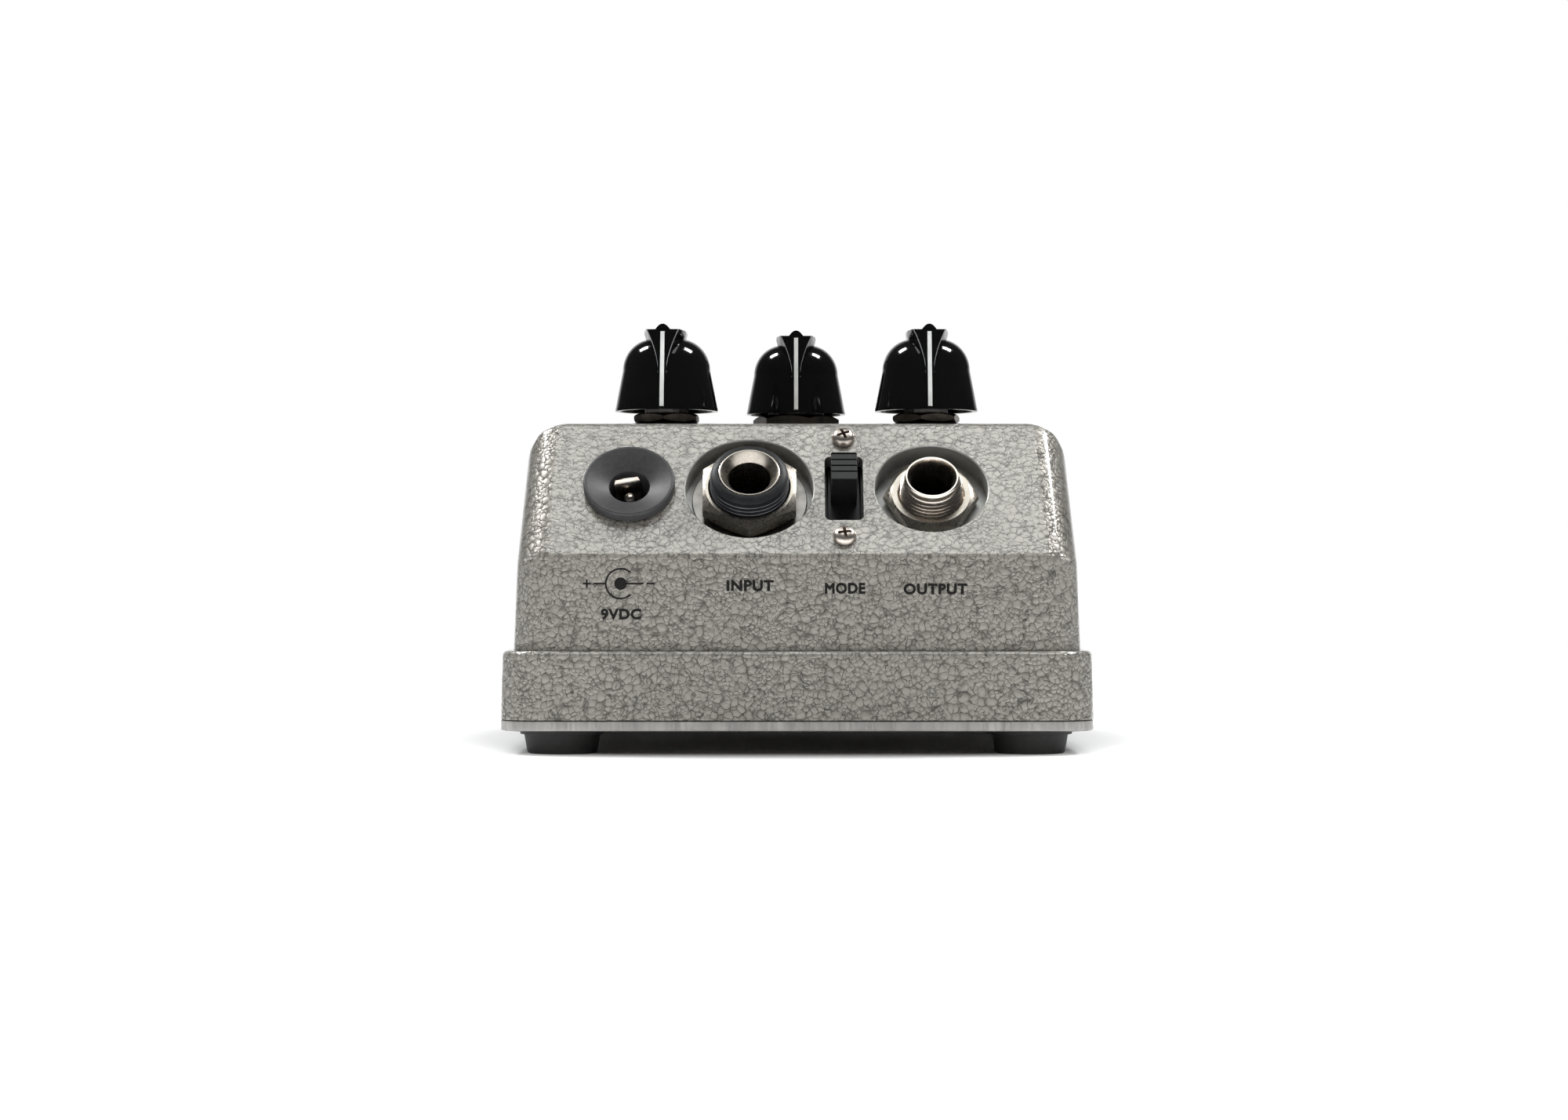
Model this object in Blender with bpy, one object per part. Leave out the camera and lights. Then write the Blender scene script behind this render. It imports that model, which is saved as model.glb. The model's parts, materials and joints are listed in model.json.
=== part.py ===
"""Guitar effects pedal: a die-cast stomp box with three pointer knobs, two phone jacks, a power inlet,
a slide switch, a stomp switch, a lamp, a battery and its circuit board.

The frame stands on the ground plane with its origin under the middle of the case. +Z is up, the sloping
jack panel faces -Y and the player's end, with the stomp switch, is at +Y. All values are in metres.
"""

import math

import bmesh
import bpy
from mathutils import Vector

MM = 0.001
GAP = 0.25 * MM  # clearance left between pieces that touch on the real object

# Case: overall outline and heights above the ground
CASE_LENGTH = 124.0 * MM
CASE_WIDTH = 90.3 * MM
SKIRT_DRAFT = 0.4 * MM  # how far each side of the skirt leans in by its top
LEDGE = 1.6 * MM  # step from the skirt in to the upper case
FOOT_HEIGHT = 3.6 * MM
PLATE_THICKNESS = 1.6 * MM
SKIRT_BOTTOM = FOOT_HEIGHT + PLATE_THICKNESS + GAP
SKIRT_TOP = 15.7 * MM
BEND_HEIGHT = 30.1 * MM
CASE_TOP = 50.8 * MM
PANEL_RUN = 17.0 * MM  # how far back the sloping panel leans over its height
LOWER_LEAN = 0.7 * MM
SIDE_DRAFT = math.radians(2.15)
WALL = 2.3 * MM
CASE_CORNER = 6.0 * MM
SKIRT_CORNER = 6.5 * MM
UNDER_TOP = CASE_TOP - WALL - GAP  # the highest that anything hung inside the case may reach

# Sloping jack panel: its tilt, and places across it measured from its middle
PANEL_TILT = math.atan2(CASE_TOP - BEND_HEIGHT, PANEL_RUN)
POWER_X = -25.7 * MM
INPUT_X = -7.3 * MM
SWITCH_X = 7.2 * MM
OUTPUT_X = 20.6 * MM
RECESS_DEPTH = 3.6 * MM
RECESS_FLOOR = 2.0 * MM
BEHIND_RECESS = -RECESS_DEPTH - RECESS_FLOOR - GAP
BEHIND_PANEL = -WALL - GAP
INPUT_RECESS_RADIUS = 9.85 * MM
OUTPUT_RECESS_RADIUS = 8.7 * MM
INPUT_THREAD_RADIUS = 6.05 * MM
OUTPUT_THREAD_RADIUS = 4.76 * MM
PLUG_BORE_RADIUS = 3.25 * MM
JACK_DEPTH = 19.0 * MM  # how far a jack reaches behind its seat
POWER_BARREL_RADIUS = 5.6 * MM
POWER_BORE_RADIUS = 3.1 * MM
SWITCH_OPENING = (5.9 * MM, 12.9 * MM)
SWITCH_SCREW_OFFSET = 10.0 * MM
SWITCH_SCREW_RADIUS = 0.95 * MM
SLIDER_SIZE = (4.0 * MM, 5.5 * MM)
SLIDER_REST = 2.0 * MM  # the slider's middle stands this far up the slope of its slot

# Top controls: places on the flat top
LEFT_KNOB = (-20.9 * MM, -27.0 * MM)
MIDDLE_KNOB = (0.0, -6.0 * MM)
RIGHT_KNOB = (20.9 * MM, -27.0 * MM)
SMALL_THREAD_RADIUS = 3.5 * MM
LARGE_THREAD_RADIUS = 4.76 * MM
SHAFT_RADIUS = 2.65 * MM
KNOB_BORE_TOP = 9.4 * MM  # above the knob's lower edge
POT_RADIUS = 8.0 * MM
POT_HEIGHT = 8.0 * MM
LAMP_PLACE = (0.0, 12.5 * MM)
LAMP_HOLE_RADIUS = 3.1 * MM
STOMP_PLACE = (0.0, 29.0 * MM)
STOMP_THREAD_RADIUS = 6.0 * MM
STOMP_BUTTON_RADIUS = 5.0 * MM
STOMP_TRAVEL = 3.5 * MM

# Feet, and the screws that pass through them and the plate into the case's corner bosses
FOOT_PLACES = {
    "rear_left": (-35.8 * MM, -53.1 * MM),
    "rear_right": (35.5 * MM, -53.1 * MM),
    "front_left": (-35.8 * MM, 53.1 * MM),
    "front_right": (35.5 * MM, 53.1 * MM),
}
BOSS_RADIUS = 5.4 * MM
BOSS_TOP = 24.0 * MM
SCREW_RADIUS = 1.45 * MM
SCREW_TOP = 16.0 * MM

# Circuit board, hung under the potentiometers
BOARD_SIZE = (70.0 * MM, 42.0 * MM)
BOARD_MIDDLE_Y = -12.5 * MM
BOARD_THICKNESS = 1.6 * MM
BOARD_TOP = UNDER_TOP - POT_HEIGHT - GAP
BATTERY_PLACE = (0.0, 31.0 * MM)
BATTERY_SIZE = (46.5 * MM, 26.0 * MM)
BATTERY_BOTTOM = 7.5 * MM
BATTERY_HEIGHT = 17.0 * MM


# ---------------------------------------------------------------- scene and materials

def clear_scene():
    for obj in list(bpy.data.objects):
        bpy.data.objects.remove(obj)


def material(name, colour, roughness, metallic=0.0):
    made = bpy.data.materials.new(name)
    made.use_nodes = True
    shader = made.node_tree.nodes["Principled BSDF"]
    shader.inputs["Base Color"].default_value = (*colour, 1.0)
    shader.inputs["Roughness"].default_value = roughness
    shader.inputs["Metallic"].default_value = metallic
    return made


def make_materials():
    return {
        "hammertone": material("hammertone", (0.30, 0.30, 0.28), 0.35, 0.5),
        "bare_aluminium": material("bare_aluminium", (0.62, 0.61, 0.59), 0.4, 1.0),
        "gloss_black": material("gloss_black", (0.01, 0.01, 0.011), 0.12),
        "satin_black": material("satin_black", (0.035, 0.035, 0.037), 0.45),
        "rubber": material("rubber", (0.02, 0.02, 0.02), 0.7),
        "nickel": material("nickel", (0.75, 0.68, 0.60), 0.18, 1.0),
        "steel": material("steel", (0.55, 0.55, 0.56), 0.35, 1.0),
        "board_green": material("board_green", (0.02, 0.16, 0.07), 0.4),
        "lamp_red": material("lamp_red", (0.55, 0.02, 0.02), 0.1),
        "ribbon_grey": material("ribbon_grey", (0.45, 0.45, 0.47), 0.5),
    }


def frame(name, location, tilt=0.0):
    """An empty that carries the pieces of one place; tilt turns it about X."""
    empty = bpy.data.objects.new(name, None)
    empty.location = location
    empty.rotation_euler = (tilt, 0.0, 0.0)
    bpy.context.scene.collection.objects.link(empty)
    return empty


# ---------------------------------------------------------------- shapes

def arc(centre, radius, start, end, steps):
    """Points on an arc, angles in degrees, both ends included."""
    angles = [math.radians(start + (end - start) * i / steps) for i in range(steps + 1)]
    return [(centre[0] + radius * math.cos(a), centre[1] + radius * math.sin(a)) for a in angles]


def rounded_rectangle(width, length, radius, steps=4):
    x, y = width / 2 - radius, length / 2 - radius
    corners = [((x, y), 0), ((-x, y), 90), ((-x, -y), 180), ((x, -y), 270)]
    return [p for centre, turn in corners for p in arc(centre, radius, turn, turn + 90, steps)]


def hexagon(across_flats, turn=0.0):
    """Six corners; turn is the angle of the first corner in degrees."""
    radius = across_flats / math.sqrt(3)
    return arc((0.0, 0.0), radius, turn, turn + 300, 5)


def outward(shape):
    """Turns every face of a closed shape to point out, also on a thin bent one."""
    bmesh.ops.recalc_face_normals(shape, faces=shape.faces)
    if shape.calc_volume(signed=True) < 0:
        bmesh.ops.reverse_faces(shape, faces=shape.faces)
    return shape


def loft(sections):
    """A closed solid through sections of (points, height), all with the same number of points."""
    shape = bmesh.new()
    rings = [[shape.verts.new((x, y, height)) for x, y in points] for points, height in sections]
    for low, high in zip(rings, rings[1:]):
        for i in range(len(low)):
            j = (i + 1) % len(low)
            shape.faces.new((low[i], low[j], high[j], high[i]))
    shape.faces.new(reversed(rings[0]))
    shape.faces.new(rings[-1])
    return outward(shape)


def prism(points, bottom, top):
    return loft([(points, bottom), (points, top)])


def lathe(profile, steps=24):
    """Turns a profile of (radius, height) about Z. A profile that ends on the axis stays open there."""
    shape = bmesh.new()
    verts = [shape.verts.new((radius, 0.0, height)) for radius, height in profile]
    on_axis = profile[0][0] == 0.0 and profile[-1][0] == 0.0
    pairs = list(zip(verts, verts[1:])) + ([] if on_axis else [(verts[-1], verts[0])])
    edges = [shape.edges.new(pair) for pair in pairs]
    bmesh.ops.spin(
        shape, geom=verts + edges, cent=(0, 0, 0), axis=(0, 0, 1),
        angle=math.tau, steps=steps, use_merge=True,
    )
    bmesh.ops.remove_doubles(shape, verts=shape.verts, dist=1e-6)
    return outward(shape)


def rod(radius, bottom, top, steps=20):
    return lathe([(0.0, bottom), (radius, bottom), (radius, top), (0.0, top)], steps)


def ring(inner, outer, bottom, top, steps=20):
    return lathe([(inner, bottom), (outer, bottom), (outer, top), (inner, top)], steps)


def upright_strip(points, width):
    """A bent strip: a closed outline in the YZ plane, widened along X."""
    shape = prism(points, -width / 2, width / 2)
    for vert in shape.verts:
        y, z, x = vert.co
        vert.co = (x, y, z)
    return outward(shape)


def thickened(path, thickness):
    """The outline of a strip whose middle follows path, a list of points in a plane."""
    points = [Vector(p) for p in path]
    sides = []
    for i, point in enumerate(points):
        along = points[min(i + 1, len(points) - 1)] - points[max(i - 1, 0)]
        sides.append(Vector((-along.y, along.x)).normalized() * thickness / 2)
    left = [tuple(p + s) for p, s in zip(points, sides)]
    right = [tuple(p - s) for p, s in zip(points, sides)]
    return left + right[::-1]


def solid(name, shape, finish, parent=None, location=(0.0, 0.0, 0.0)):
    """Makes an object of a bmesh, shaded smooth but for its sharp edges."""
    mesh = bpy.data.meshes.new(name)
    shape.to_mesh(mesh)
    shape.free()
    mesh.shade_smooth()
    mesh.set_sharp_from_angle(angle=math.radians(35))
    obj = bpy.data.objects.new(name, mesh)
    obj.location = location
    obj.parent = parent
    bpy.context.scene.collection.objects.link(obj)
    if finish:
        mesh.materials.append(finish)
    return obj


def helper(name, shape, parent=None, location=(0.0, 0.0, 0.0)):
    """A shape used only to add to or cut from a part."""
    obj = solid(name, shape, None, parent, location)
    obj.hide_render = True
    obj.display_type = "WIRE"
    return obj


def stacked(name, helpers):
    """Puts helpers in a collection of their own, for one Boolean to take together."""
    group = bpy.data.collections.new(name)
    bpy.context.scene.collection.children.link(group)
    for obj in helpers:
        bpy.context.scene.collection.objects.unlink(obj)
        group.objects.link(obj)
    return group


def combine(obj, operation, helpers):
    """Joins (UNION) or cuts (DIFFERENCE) the helpers, which may overlap each other, to or from obj."""
    modifier = obj.modifiers.new(operation.title(), "BOOLEAN")
    modifier.operation = operation
    modifier.operand_type = "COLLECTION"
    modifier.collection = stacked(f"{obj.name}_{operation.lower()}", helpers)
    modifier.solver = "EXACT"


# ---------------------------------------------------------------- case

def case_outline(inset, foot):
    """Side outline of the upper case in (y, z), drawn in by inset and carried down to the height foot."""
    half_length = CASE_LENGTH / 2 - LEDGE - inset
    bend_y = half_length - LOWER_LEAN
    slope = inset * math.tan(PANEL_TILT / 2)  # where two walls drawn in by the same amount meet
    drop = inset * math.tan((math.pi / 2 - PANEL_TILT) / 2)
    top_y = CASE_LENGTH / 2 - LEDGE - LOWER_LEAN - PANEL_RUN - slope
    front = [(half_length, foot), (bend_y, BEND_HEIGHT - drop), (top_y, CASE_TOP - inset)]
    return front + [(-y, z) for y, z in reversed(front)]


def case_block(inset, foot):
    """The upper case as a closed block: a tall box with sloping ends and leaning sides, drawn in by inset."""
    shape = bmesh.new()
    outline = case_outline(inset, foot)
    rings = []
    for side in (-1, 1):
        ring_verts = []
        for y, z in outline:
            lean = (z - SKIRT_TOP) * math.tan(SIDE_DRAFT)
            half_width = CASE_WIDTH / 2 - SKIRT_DRAFT - LEDGE - inset - lean
            ring_verts.append(shape.verts.new((side * half_width, y, z)))
        rings.append(ring_verts)
    left, right = rings
    for i in range(len(outline)):
        j = (i + 1) % len(outline)
        shape.faces.new((left[i], left[j], right[j], right[i]))
    shape.faces.new(left)
    shape.faces.new(reversed(right))
    return outward(shape)


def round_case_edges(obj, radius, segments):
    """Rounds the corners and long edges by radius, and the edges across the case by a small share of it."""
    bend_share, top_share = 0.08, 0.15
    mesh = obj.data
    weights = mesh.attributes.new("bevel_weight_edge", "FLOAT", "EDGE")
    foot = min(v.co.z for v in mesh.vertices)
    for edge in mesh.edges:
        a, b = (mesh.vertices[i].co for i in edge.vertices)
        if max(a.z, b.z) < foot + MM:
            continue
        share = 1.0
        if abs(a.x - b.x) > CASE_WIDTH / 2:
            share = top_share if a.z > BEND_HEIGHT + 2 * WALL else bend_share
        weights.data[edge.index].value = share
    bevel = obj.modifiers.new("Rounded edges", "BEVEL")
    bevel.limit_method = "WEIGHT"
    bevel.width = radius
    bevel.segments = segments


def skirt():
    """The wide band round the foot of the case, leaning in a little, with a rounded top edge."""
    edge = 1.0 * MM
    draft = 2 * SKIRT_DRAFT

    def outline(less):
        return rounded_rectangle(CASE_WIDTH - less, CASE_LENGTH - less, SKIRT_CORNER - less / 2)

    rounding = [
        (outline(draft + 2 * (edge - edge * math.cos(a))), SKIRT_TOP - edge + edge * math.sin(a))
        for a in (0.0, math.pi / 4, math.pi / 2)
    ]
    return loft([(outline(0.0), SKIRT_BOTTOM), *rounding])


def panel_holes(panel):
    """The recesses and holes of the sloping panel."""
    reach = 9 * MM
    slot = prism(rounded_rectangle(*SWITCH_OPENING, 0.9 * MM, 3), -reach, reach)
    holes = [helper("cut_switch_slot", slot, panel, (SWITCH_X, 0, 0))]
    for name, x, radius, bottom, steps in (
        ("input_recess", INPUT_X, INPUT_RECESS_RADIUS, -RECESS_DEPTH, 32),
        ("output_recess", OUTPUT_X, OUTPUT_RECESS_RADIUS, -RECESS_DEPTH, 32),
        ("input_hole", INPUT_X, INPUT_THREAD_RADIUS + GAP, -reach, 20),
        ("output_hole", OUTPUT_X, OUTPUT_THREAD_RADIUS + GAP, -reach, 20),
        ("power_hole", POWER_X, POWER_BARREL_RADIUS + GAP, -reach, 20),
    ):
        holes.append(helper(f"cut_{name}", rod(radius, bottom, reach, steps), panel, (x, 0, 0)))
    for side in (-1, 1):
        place = (SWITCH_X, side * SWITCH_SCREW_OFFSET, 0)
        drilled = rod(SWITCH_SCREW_RADIUS + GAP, -reach, reach, 12)
        holes.append(helper(f"cut_switch_screw_{side}", drilled, panel, place))
    return holes


def top_holes():
    """The holes of the flat top, and the tapped holes up the corner bosses."""
    holes = []
    for i, ((x, y), radius) in enumerate((
        (LEFT_KNOB, SMALL_THREAD_RADIUS), (MIDDLE_KNOB, LARGE_THREAD_RADIUS),
        (RIGHT_KNOB, SMALL_THREAD_RADIUS), (LAMP_PLACE, LAMP_HOLE_RADIUS), (STOMP_PLACE, STOMP_THREAD_RADIUS),
    )):
        drilled = rod(radius + GAP, CASE_TOP - 2 * WALL, CASE_TOP + WALL)
        holes.append(helper(f"cut_top_{i}", drilled, None, (x, y, 0)))
    for name, (x, y) in FOOT_PLACES.items():
        tapped = rod(SCREW_RADIUS + GAP, SKIRT_BOTTOM - WALL, SCREW_TOP + MM, 12)
        holes.append(helper(f"cut_boss_{name}", tapped, None, (x, y, 0)))
    return holes


def make_case(panel, finish):
    case = solid("enclosure", skirt(), finish)
    upper = helper("upper_case", case_block(0.0, SKIRT_BOTTOM + 2 * MM))
    round_case_edges(upper, CASE_CORNER, 4)
    combine(case, "UNION", [upper])
    cavity = helper("cavity", case_block(WALL, SKIRT_BOTTOM - 3 * MM))
    round_case_edges(cavity, CASE_CORNER - WALL, 2)
    combine(case, "DIFFERENCE", [cavity])
    seats = []
    for name, x, radius in (
        ("input", INPUT_X, INPUT_RECESS_RADIUS + MM), ("output", OUTPUT_X, OUTPUT_RECESS_RADIUS + MM),
    ):
        block = rod(radius, -RECESS_DEPTH - RECESS_FLOOR, -WALL / 2, 24)
        seats.append(helper(f"seat_{name}", block, panel, (x, 0, 0)))
    for name, (x, y) in FOOT_PLACES.items():
        seats.append(helper(f"boss_{name}", rod(BOSS_RADIUS, SKIRT_BOTTOM, BOSS_TOP, 16), None, (x, y, 0)))
    combine(case, "UNION", seats)
    combine(case, "DIFFERENCE", panel_holes(panel) + top_holes())


def make_base(materials):
    """The base plate, its feet and the screws that hold both."""
    edge = 0.5 * MM
    inset = 0.4 * MM
    plan = (CASE_WIDTH - inset, CASE_LENGTH - inset)
    corner = SKIRT_CORNER - inset / 2
    sections = [
        (rounded_rectangle(plan[0] - 2 * edge, plan[1] - 2 * edge, corner - edge), FOOT_HEIGHT),
        (rounded_rectangle(*plan, corner), FOOT_HEIGHT + edge),
        (rounded_rectangle(*plan, corner), FOOT_HEIGHT + PLATE_THICKNESS),
    ]
    plate = solid("base_plate", loft(sections), materials["bare_aluminium"])
    cutters = []
    for name, (x, y) in FOOT_PLACES.items():
        hole = rod(SCREW_RADIUS + GAP, 0, SKIRT_BOTTOM + MM, 12)
        cutters.append(helper(f"cut_plate_{name}", hole, None, (x, y, 0)))
        solid(f"foot_{name}", foot_shape(), materials["rubber"], None, (x, y, 0))
        solid(f"foot_screw_{name}", foot_screw_shape(), materials["steel"], None, (x, y, 0))
    combine(plate, "DIFFERENCE", cutters)


def foot_shape():
    """A tapered rubber foot with a thin flange at the top and a recess below for its screw."""
    top = FOOT_HEIGHT - GAP
    recess = 2.0 * MM
    return lathe([
        (SCREW_RADIUS + GAP, top), (SCREW_RADIUS + GAP, recess), (3.2 * MM, recess), (3.3 * MM, 0.0),
        (5.0 * MM, 0.0), (5.4 * MM, 0.35 * MM), (5.85 * MM, top - 0.65 * MM),
        (6.45 * MM, top - 0.65 * MM), (6.45 * MM, top),
    ], 20)


def foot_screw_shape():
    head = (0.7 * MM, 2.0 * MM - GAP)
    return lathe([
        (0.0, head[0]), (1.9 * MM, head[0]), (2.7 * MM, head[0] + 0.5 * MM), (2.7 * MM, head[1]),
        (SCREW_RADIUS, head[1]), (SCREW_RADIUS, SCREW_TOP - MM), (0.5 * MM, SCREW_TOP), (0.0, SCREW_TOP),
    ], 12)


# ---------------------------------------------------------------- nuts and washers

def nut_shape(across_flats, thread_radius, bottom, top, turn=0.0):
    """A hexagon nut whose corners are cut back by a cone at the top, with a plain bore."""
    chamfer = across_flats * 0.05
    corner_share = 0.87  # how far out the corners still reach at the top face
    bore = arc((0.0, 0.0), (thread_radius + GAP) / math.cos(math.pi / 12), turn, turn + 330, 11)
    outer = hexagon(across_flats, turn)
    middles = [((a[0] + b[0]) / 2, (a[1] + b[1]) / 2) for a, b in zip(outer, outer[1:] + outer[:1])]
    cut_back = [(x * corner_share, y * corner_share) for x, y in outer]
    full = [point for pair in zip(outer, middles) for point in pair]
    topmost = [point for pair in zip(cut_back, middles) for point in pair]
    shape = bmesh.new()
    rings = []
    for points, height in (
        (bore, bottom), (full, bottom), (full, top - chamfer), (topmost, top), (bore, top),
    ):
        rings.append([shape.verts.new((x, y, height)) for x, y in points])
    for low, high in zip(rings, rings[1:] + rings[:1]):
        for i in range(12):
            j = (i + 1) % 12
            shape.faces.new((low[i], low[j], high[j], high[i]))
    return outward(shape)


# ---------------------------------------------------------------- sloping panel: jacks, inlet and switch

def make_input_jack(panel, materials):
    """An enclosed plastic jack: its threaded bushing stands proud of the panel, lined with a metal ring."""
    end = 3.6 * MM
    liner_radius = 4.7 * MM
    liner_foot = -4.0 * MM
    back = BEHIND_RECESS - JACK_DEPTH
    at = (INPUT_X, 0, 0)
    box = prism(rounded_rectangle(16.0 * MM, 17.0 * MM, 1.5 * MM, 2), back, BEHIND_RECESS)
    body = solid("input_jack_body", box, materials["satin_black"], panel, at)
    bushing = rod(INPUT_THREAD_RADIUS, BEHIND_RECESS - 2 * MM, end, 24)
    combine(body, "UNION", [helper("input_bushing", bushing, panel, at)])
    seat = rod(liner_radius + GAP, liner_foot - GAP, end + MM, 24)
    bore = rod(PLUG_BORE_RADIUS, back - MM, end + MM, 20)
    slot_plan = [(1.2 * MM, 0), (-1.2 * MM, 0), (-1.2 * MM, 7 * MM), (1.2 * MM, 7 * MM)]
    slot = prism(slot_plan, back - MM, back + 11 * MM)
    cutters = [("seat", seat), ("bore", bore), ("contact_slot", slot)]
    combine(body, "DIFFERENCE", [helper(f"cut_input_{name}", shape, panel, at) for name, shape in cutters])
    liner = lathe([
        (PLUG_BORE_RADIUS, liner_foot), (liner_radius, liner_foot), (liner_radius, end - 0.2 * MM),
        (liner_radius - 0.5 * MM, end + 0.1 * MM), (liner_radius - 0.9 * MM, end + 0.1 * MM),
        (PLUG_BORE_RADIUS, end - 1.6 * MM),
    ])
    solid("input_jack_liner", liner, materials["nickel"], panel, at)
    solid("input_jack_contact", jack_contact(back), materials["nickel"], panel, at)
    washer = (-RECESS_DEPTH + GAP, -RECESS_DEPTH + GAP + 0.5 * MM)
    bore_radius = INPUT_THREAD_RADIUS + GAP
    solid("input_jack_washer", ring(bore_radius, 8.85 * MM, *washer), materials["steel"], panel, at)
    nut = nut_shape(14.3 * MM, INPUT_THREAD_RADIUS, washer[1] + GAP, washer[1] + GAP + 3.0 * MM, 90.0)
    solid("input_jack_nut", nut, materials["nickel"], panel, at)


def jack_contact(back):
    """The bent spring that presses on a plug's tip: it lies in the jack's slot and dips towards its axis."""
    path = [(5.8, 0.4), (5.8, 6.0), (4.2, 8.2), (5.2, 10.4)]
    outline = thickened([(y * MM, back + z * MM) for y, z in path], 0.4 * MM)
    return upright_strip(outline, 1.6 * MM)


def make_output_jack(panel, materials):
    """An open-frame jack: a threaded metal bushing on a square plate, with contacts on a block behind it."""
    end = 2.7 * MM
    plate_top = BEHIND_RECESS
    plate_bottom = plate_top - 1.2 * MM
    at = (OUTPUT_X, 0, 0)
    square = prism(rounded_rectangle(16.0 * MM, 15.0 * MM, 1.0 * MM, 2), plate_bottom, plate_top)
    bushing = solid("output_jack_bushing", square, materials["nickel"], panel, at)
    thread = lathe([
        (0.0, plate_bottom + 0.4 * MM), (OUTPUT_THREAD_RADIUS, plate_bottom + 0.4 * MM),
        (OUTPUT_THREAD_RADIUS, end - 1.4 * MM), (4.2 * MM, end - 1.1 * MM), (4.2 * MM, end), (0.0, end),
    ])
    combine(bushing, "UNION", [helper("output_thread", thread, panel, at)])
    bore = lathe([
        (0.0, plate_bottom - MM), (PLUG_BORE_RADIUS, plate_bottom - MM), (PLUG_BORE_RADIUS, end - 0.9 * MM),
        (3.7 * MM, end), (3.7 * MM, end + MM), (0.0, end + MM),
    ], 20)
    combine(bushing, "DIFFERENCE", [helper("cut_output_bore", bore, panel, at)])
    block = [(4.3, 0.0), (7.4, 0.0), (7.4, -18.0), (6.2, -18.0), (6.2, -8.0), (4.3, -8.0)]
    outline = [(y * MM, plate_bottom - GAP + z * MM) for y, z in block]
    solid("output_jack_block", upright_strip(outline, 12.0 * MM), materials["satin_black"], panel, at)
    path = [(5.6, -9.0), (5.6, -15.5), (3.6, -18.2), (4.6, -20.0)]
    outline = thickened([(y * MM, plate_bottom + z * MM) for y, z in path], 0.4 * MM)
    solid("output_jack_contact", upright_strip(outline, 3.0 * MM), materials["nickel"], panel, at)
    nut = nut_shape(12.7 * MM, OUTPUT_THREAD_RADIUS, -RECESS_DEPTH + GAP, -RECESS_DEPTH + GAP + 2.2 * MM)
    solid("output_jack_nut", nut, materials["nickel"], panel, at)


def make_power_jack(panel, materials):
    """A round power inlet: a dished black flange, a centre pin and a spring contact inside its hole."""
    flange_radius = 7.0 * MM
    flange_top = 1.9 * MM
    dish_depth = 1.6 * MM
    back = -13.0 * MM
    floor = -10.0 * MM
    at = (POWER_X, 0, 0)
    body = lathe([
        (0.0, back), (POWER_BARREL_RADIUS, back), (POWER_BARREL_RADIUS, GAP), (flange_radius, GAP),
        (flange_radius, flange_top - 0.4 * MM), (flange_radius - 0.4 * MM, flange_top),
        (flange_radius - 1.2 * MM, flange_top), (POWER_BORE_RADIUS, flange_top - dish_depth),
        (POWER_BORE_RADIUS, floor), (0.0, floor),
    ])
    solid("power_jack_body", body, materials["satin_black"], panel, at)
    pin = lathe([
        (0.0, floor + GAP), (1.05 * MM, floor + GAP), (1.05 * MM, -2.6 * MM),
        (0.74 * MM, -1.95 * MM), (0.0, -1.7 * MM),
    ], 12)
    solid("power_jack_pin", pin, materials["nickel"], panel, at)
    path = [(2.55, -9.6), (2.55, -5.5), (1.75, -3.6), (2.45, -2.0)]
    outline = thickened([(y * MM, z * MM) for y, z in path], 0.3 * MM)
    solid("power_jack_contact", upright_strip(outline, 1.5 * MM), materials["nickel"], panel, at)
    nut = nut_shape(13.2 * MM, POWER_BARREL_RADIUS, BEHIND_PANEL - 2.0 * MM, BEHIND_PANEL, 30.0)
    solid("power_jack_nut", nut, materials["satin_black"], panel, at)


def make_slide_switch(panel, materials):
    """A two-way slide switch held by two screws, with a ribbed slider that stands out of its slot."""
    at = (SWITCH_X, 0, 0)
    travel = 2 * SLIDER_REST
    base = (4.8 * MM, 11.6 * MM)
    base_top = BEHIND_PANEL - 0.6 * MM
    base_bottom = base_top - 1.6 * MM
    body_bottom = base_bottom - 5.0 * MM
    block = prism(rounded_rectangle(6.6 * MM, 22.6 * MM, 0.5 * MM, 2), body_bottom, BEHIND_PANEL)
    body = solid("slide_switch_body", block, materials["satin_black"], panel, at)
    trough = prism(
        rounded_rectangle(base[0] + 2 * GAP, base[1] + travel + 2 * GAP, 0.3 * MM, 2),
        base_bottom - GAP, BEHIND_PANEL + MM,
    )
    cutters = [helper("cut_switch_trough", trough, panel, at)]
    screw_foot = body_bottom + MM
    for word, side in (("lower", -1), ("upper", 1)):
        place = (SWITCH_X, side * SWITCH_SCREW_OFFSET, 0)
        tapped = rod(SWITCH_SCREW_RADIUS + GAP / 2, screw_foot - GAP, BEHIND_PANEL + MM, 12)
        cutters.append(helper(f"cut_switch_ear_{word}", tapped, panel, place))
        screw = lathe([
            (0.0, screw_foot), (SWITCH_SCREW_RADIUS, screw_foot), (SWITCH_SCREW_RADIUS, GAP),
            (1.75 * MM, GAP), (1.75 * MM, 0.8 * MM), (1.35 * MM, 1.3 * MM), (0.7 * MM, 1.5 * MM),
            (0.0, 1.55 * MM),
        ], 12)
        solid(f"slide_switch_screw_{word}", screw, materials["nickel"], panel, place)
    combine(body, "DIFFERENCE", cutters)
    slider_at = (SWITCH_X, SLIDER_REST, 0)
    plate = prism(rounded_rectangle(*base, 0.2 * MM, 2), base_bottom, base_top)
    slider = solid("slide_switch_slider", plate, materials["satin_black"], panel, slider_at)
    stem = prism(rounded_rectangle(*SLIDER_SIZE, 0.4 * MM, 2), base_bottom + 0.3 * MM, 3.0 * MM)
    combine(slider, "UNION", [helper("slider_stem", stem, panel, slider_at)])


# ---------------------------------------------------------------- top controls

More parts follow.
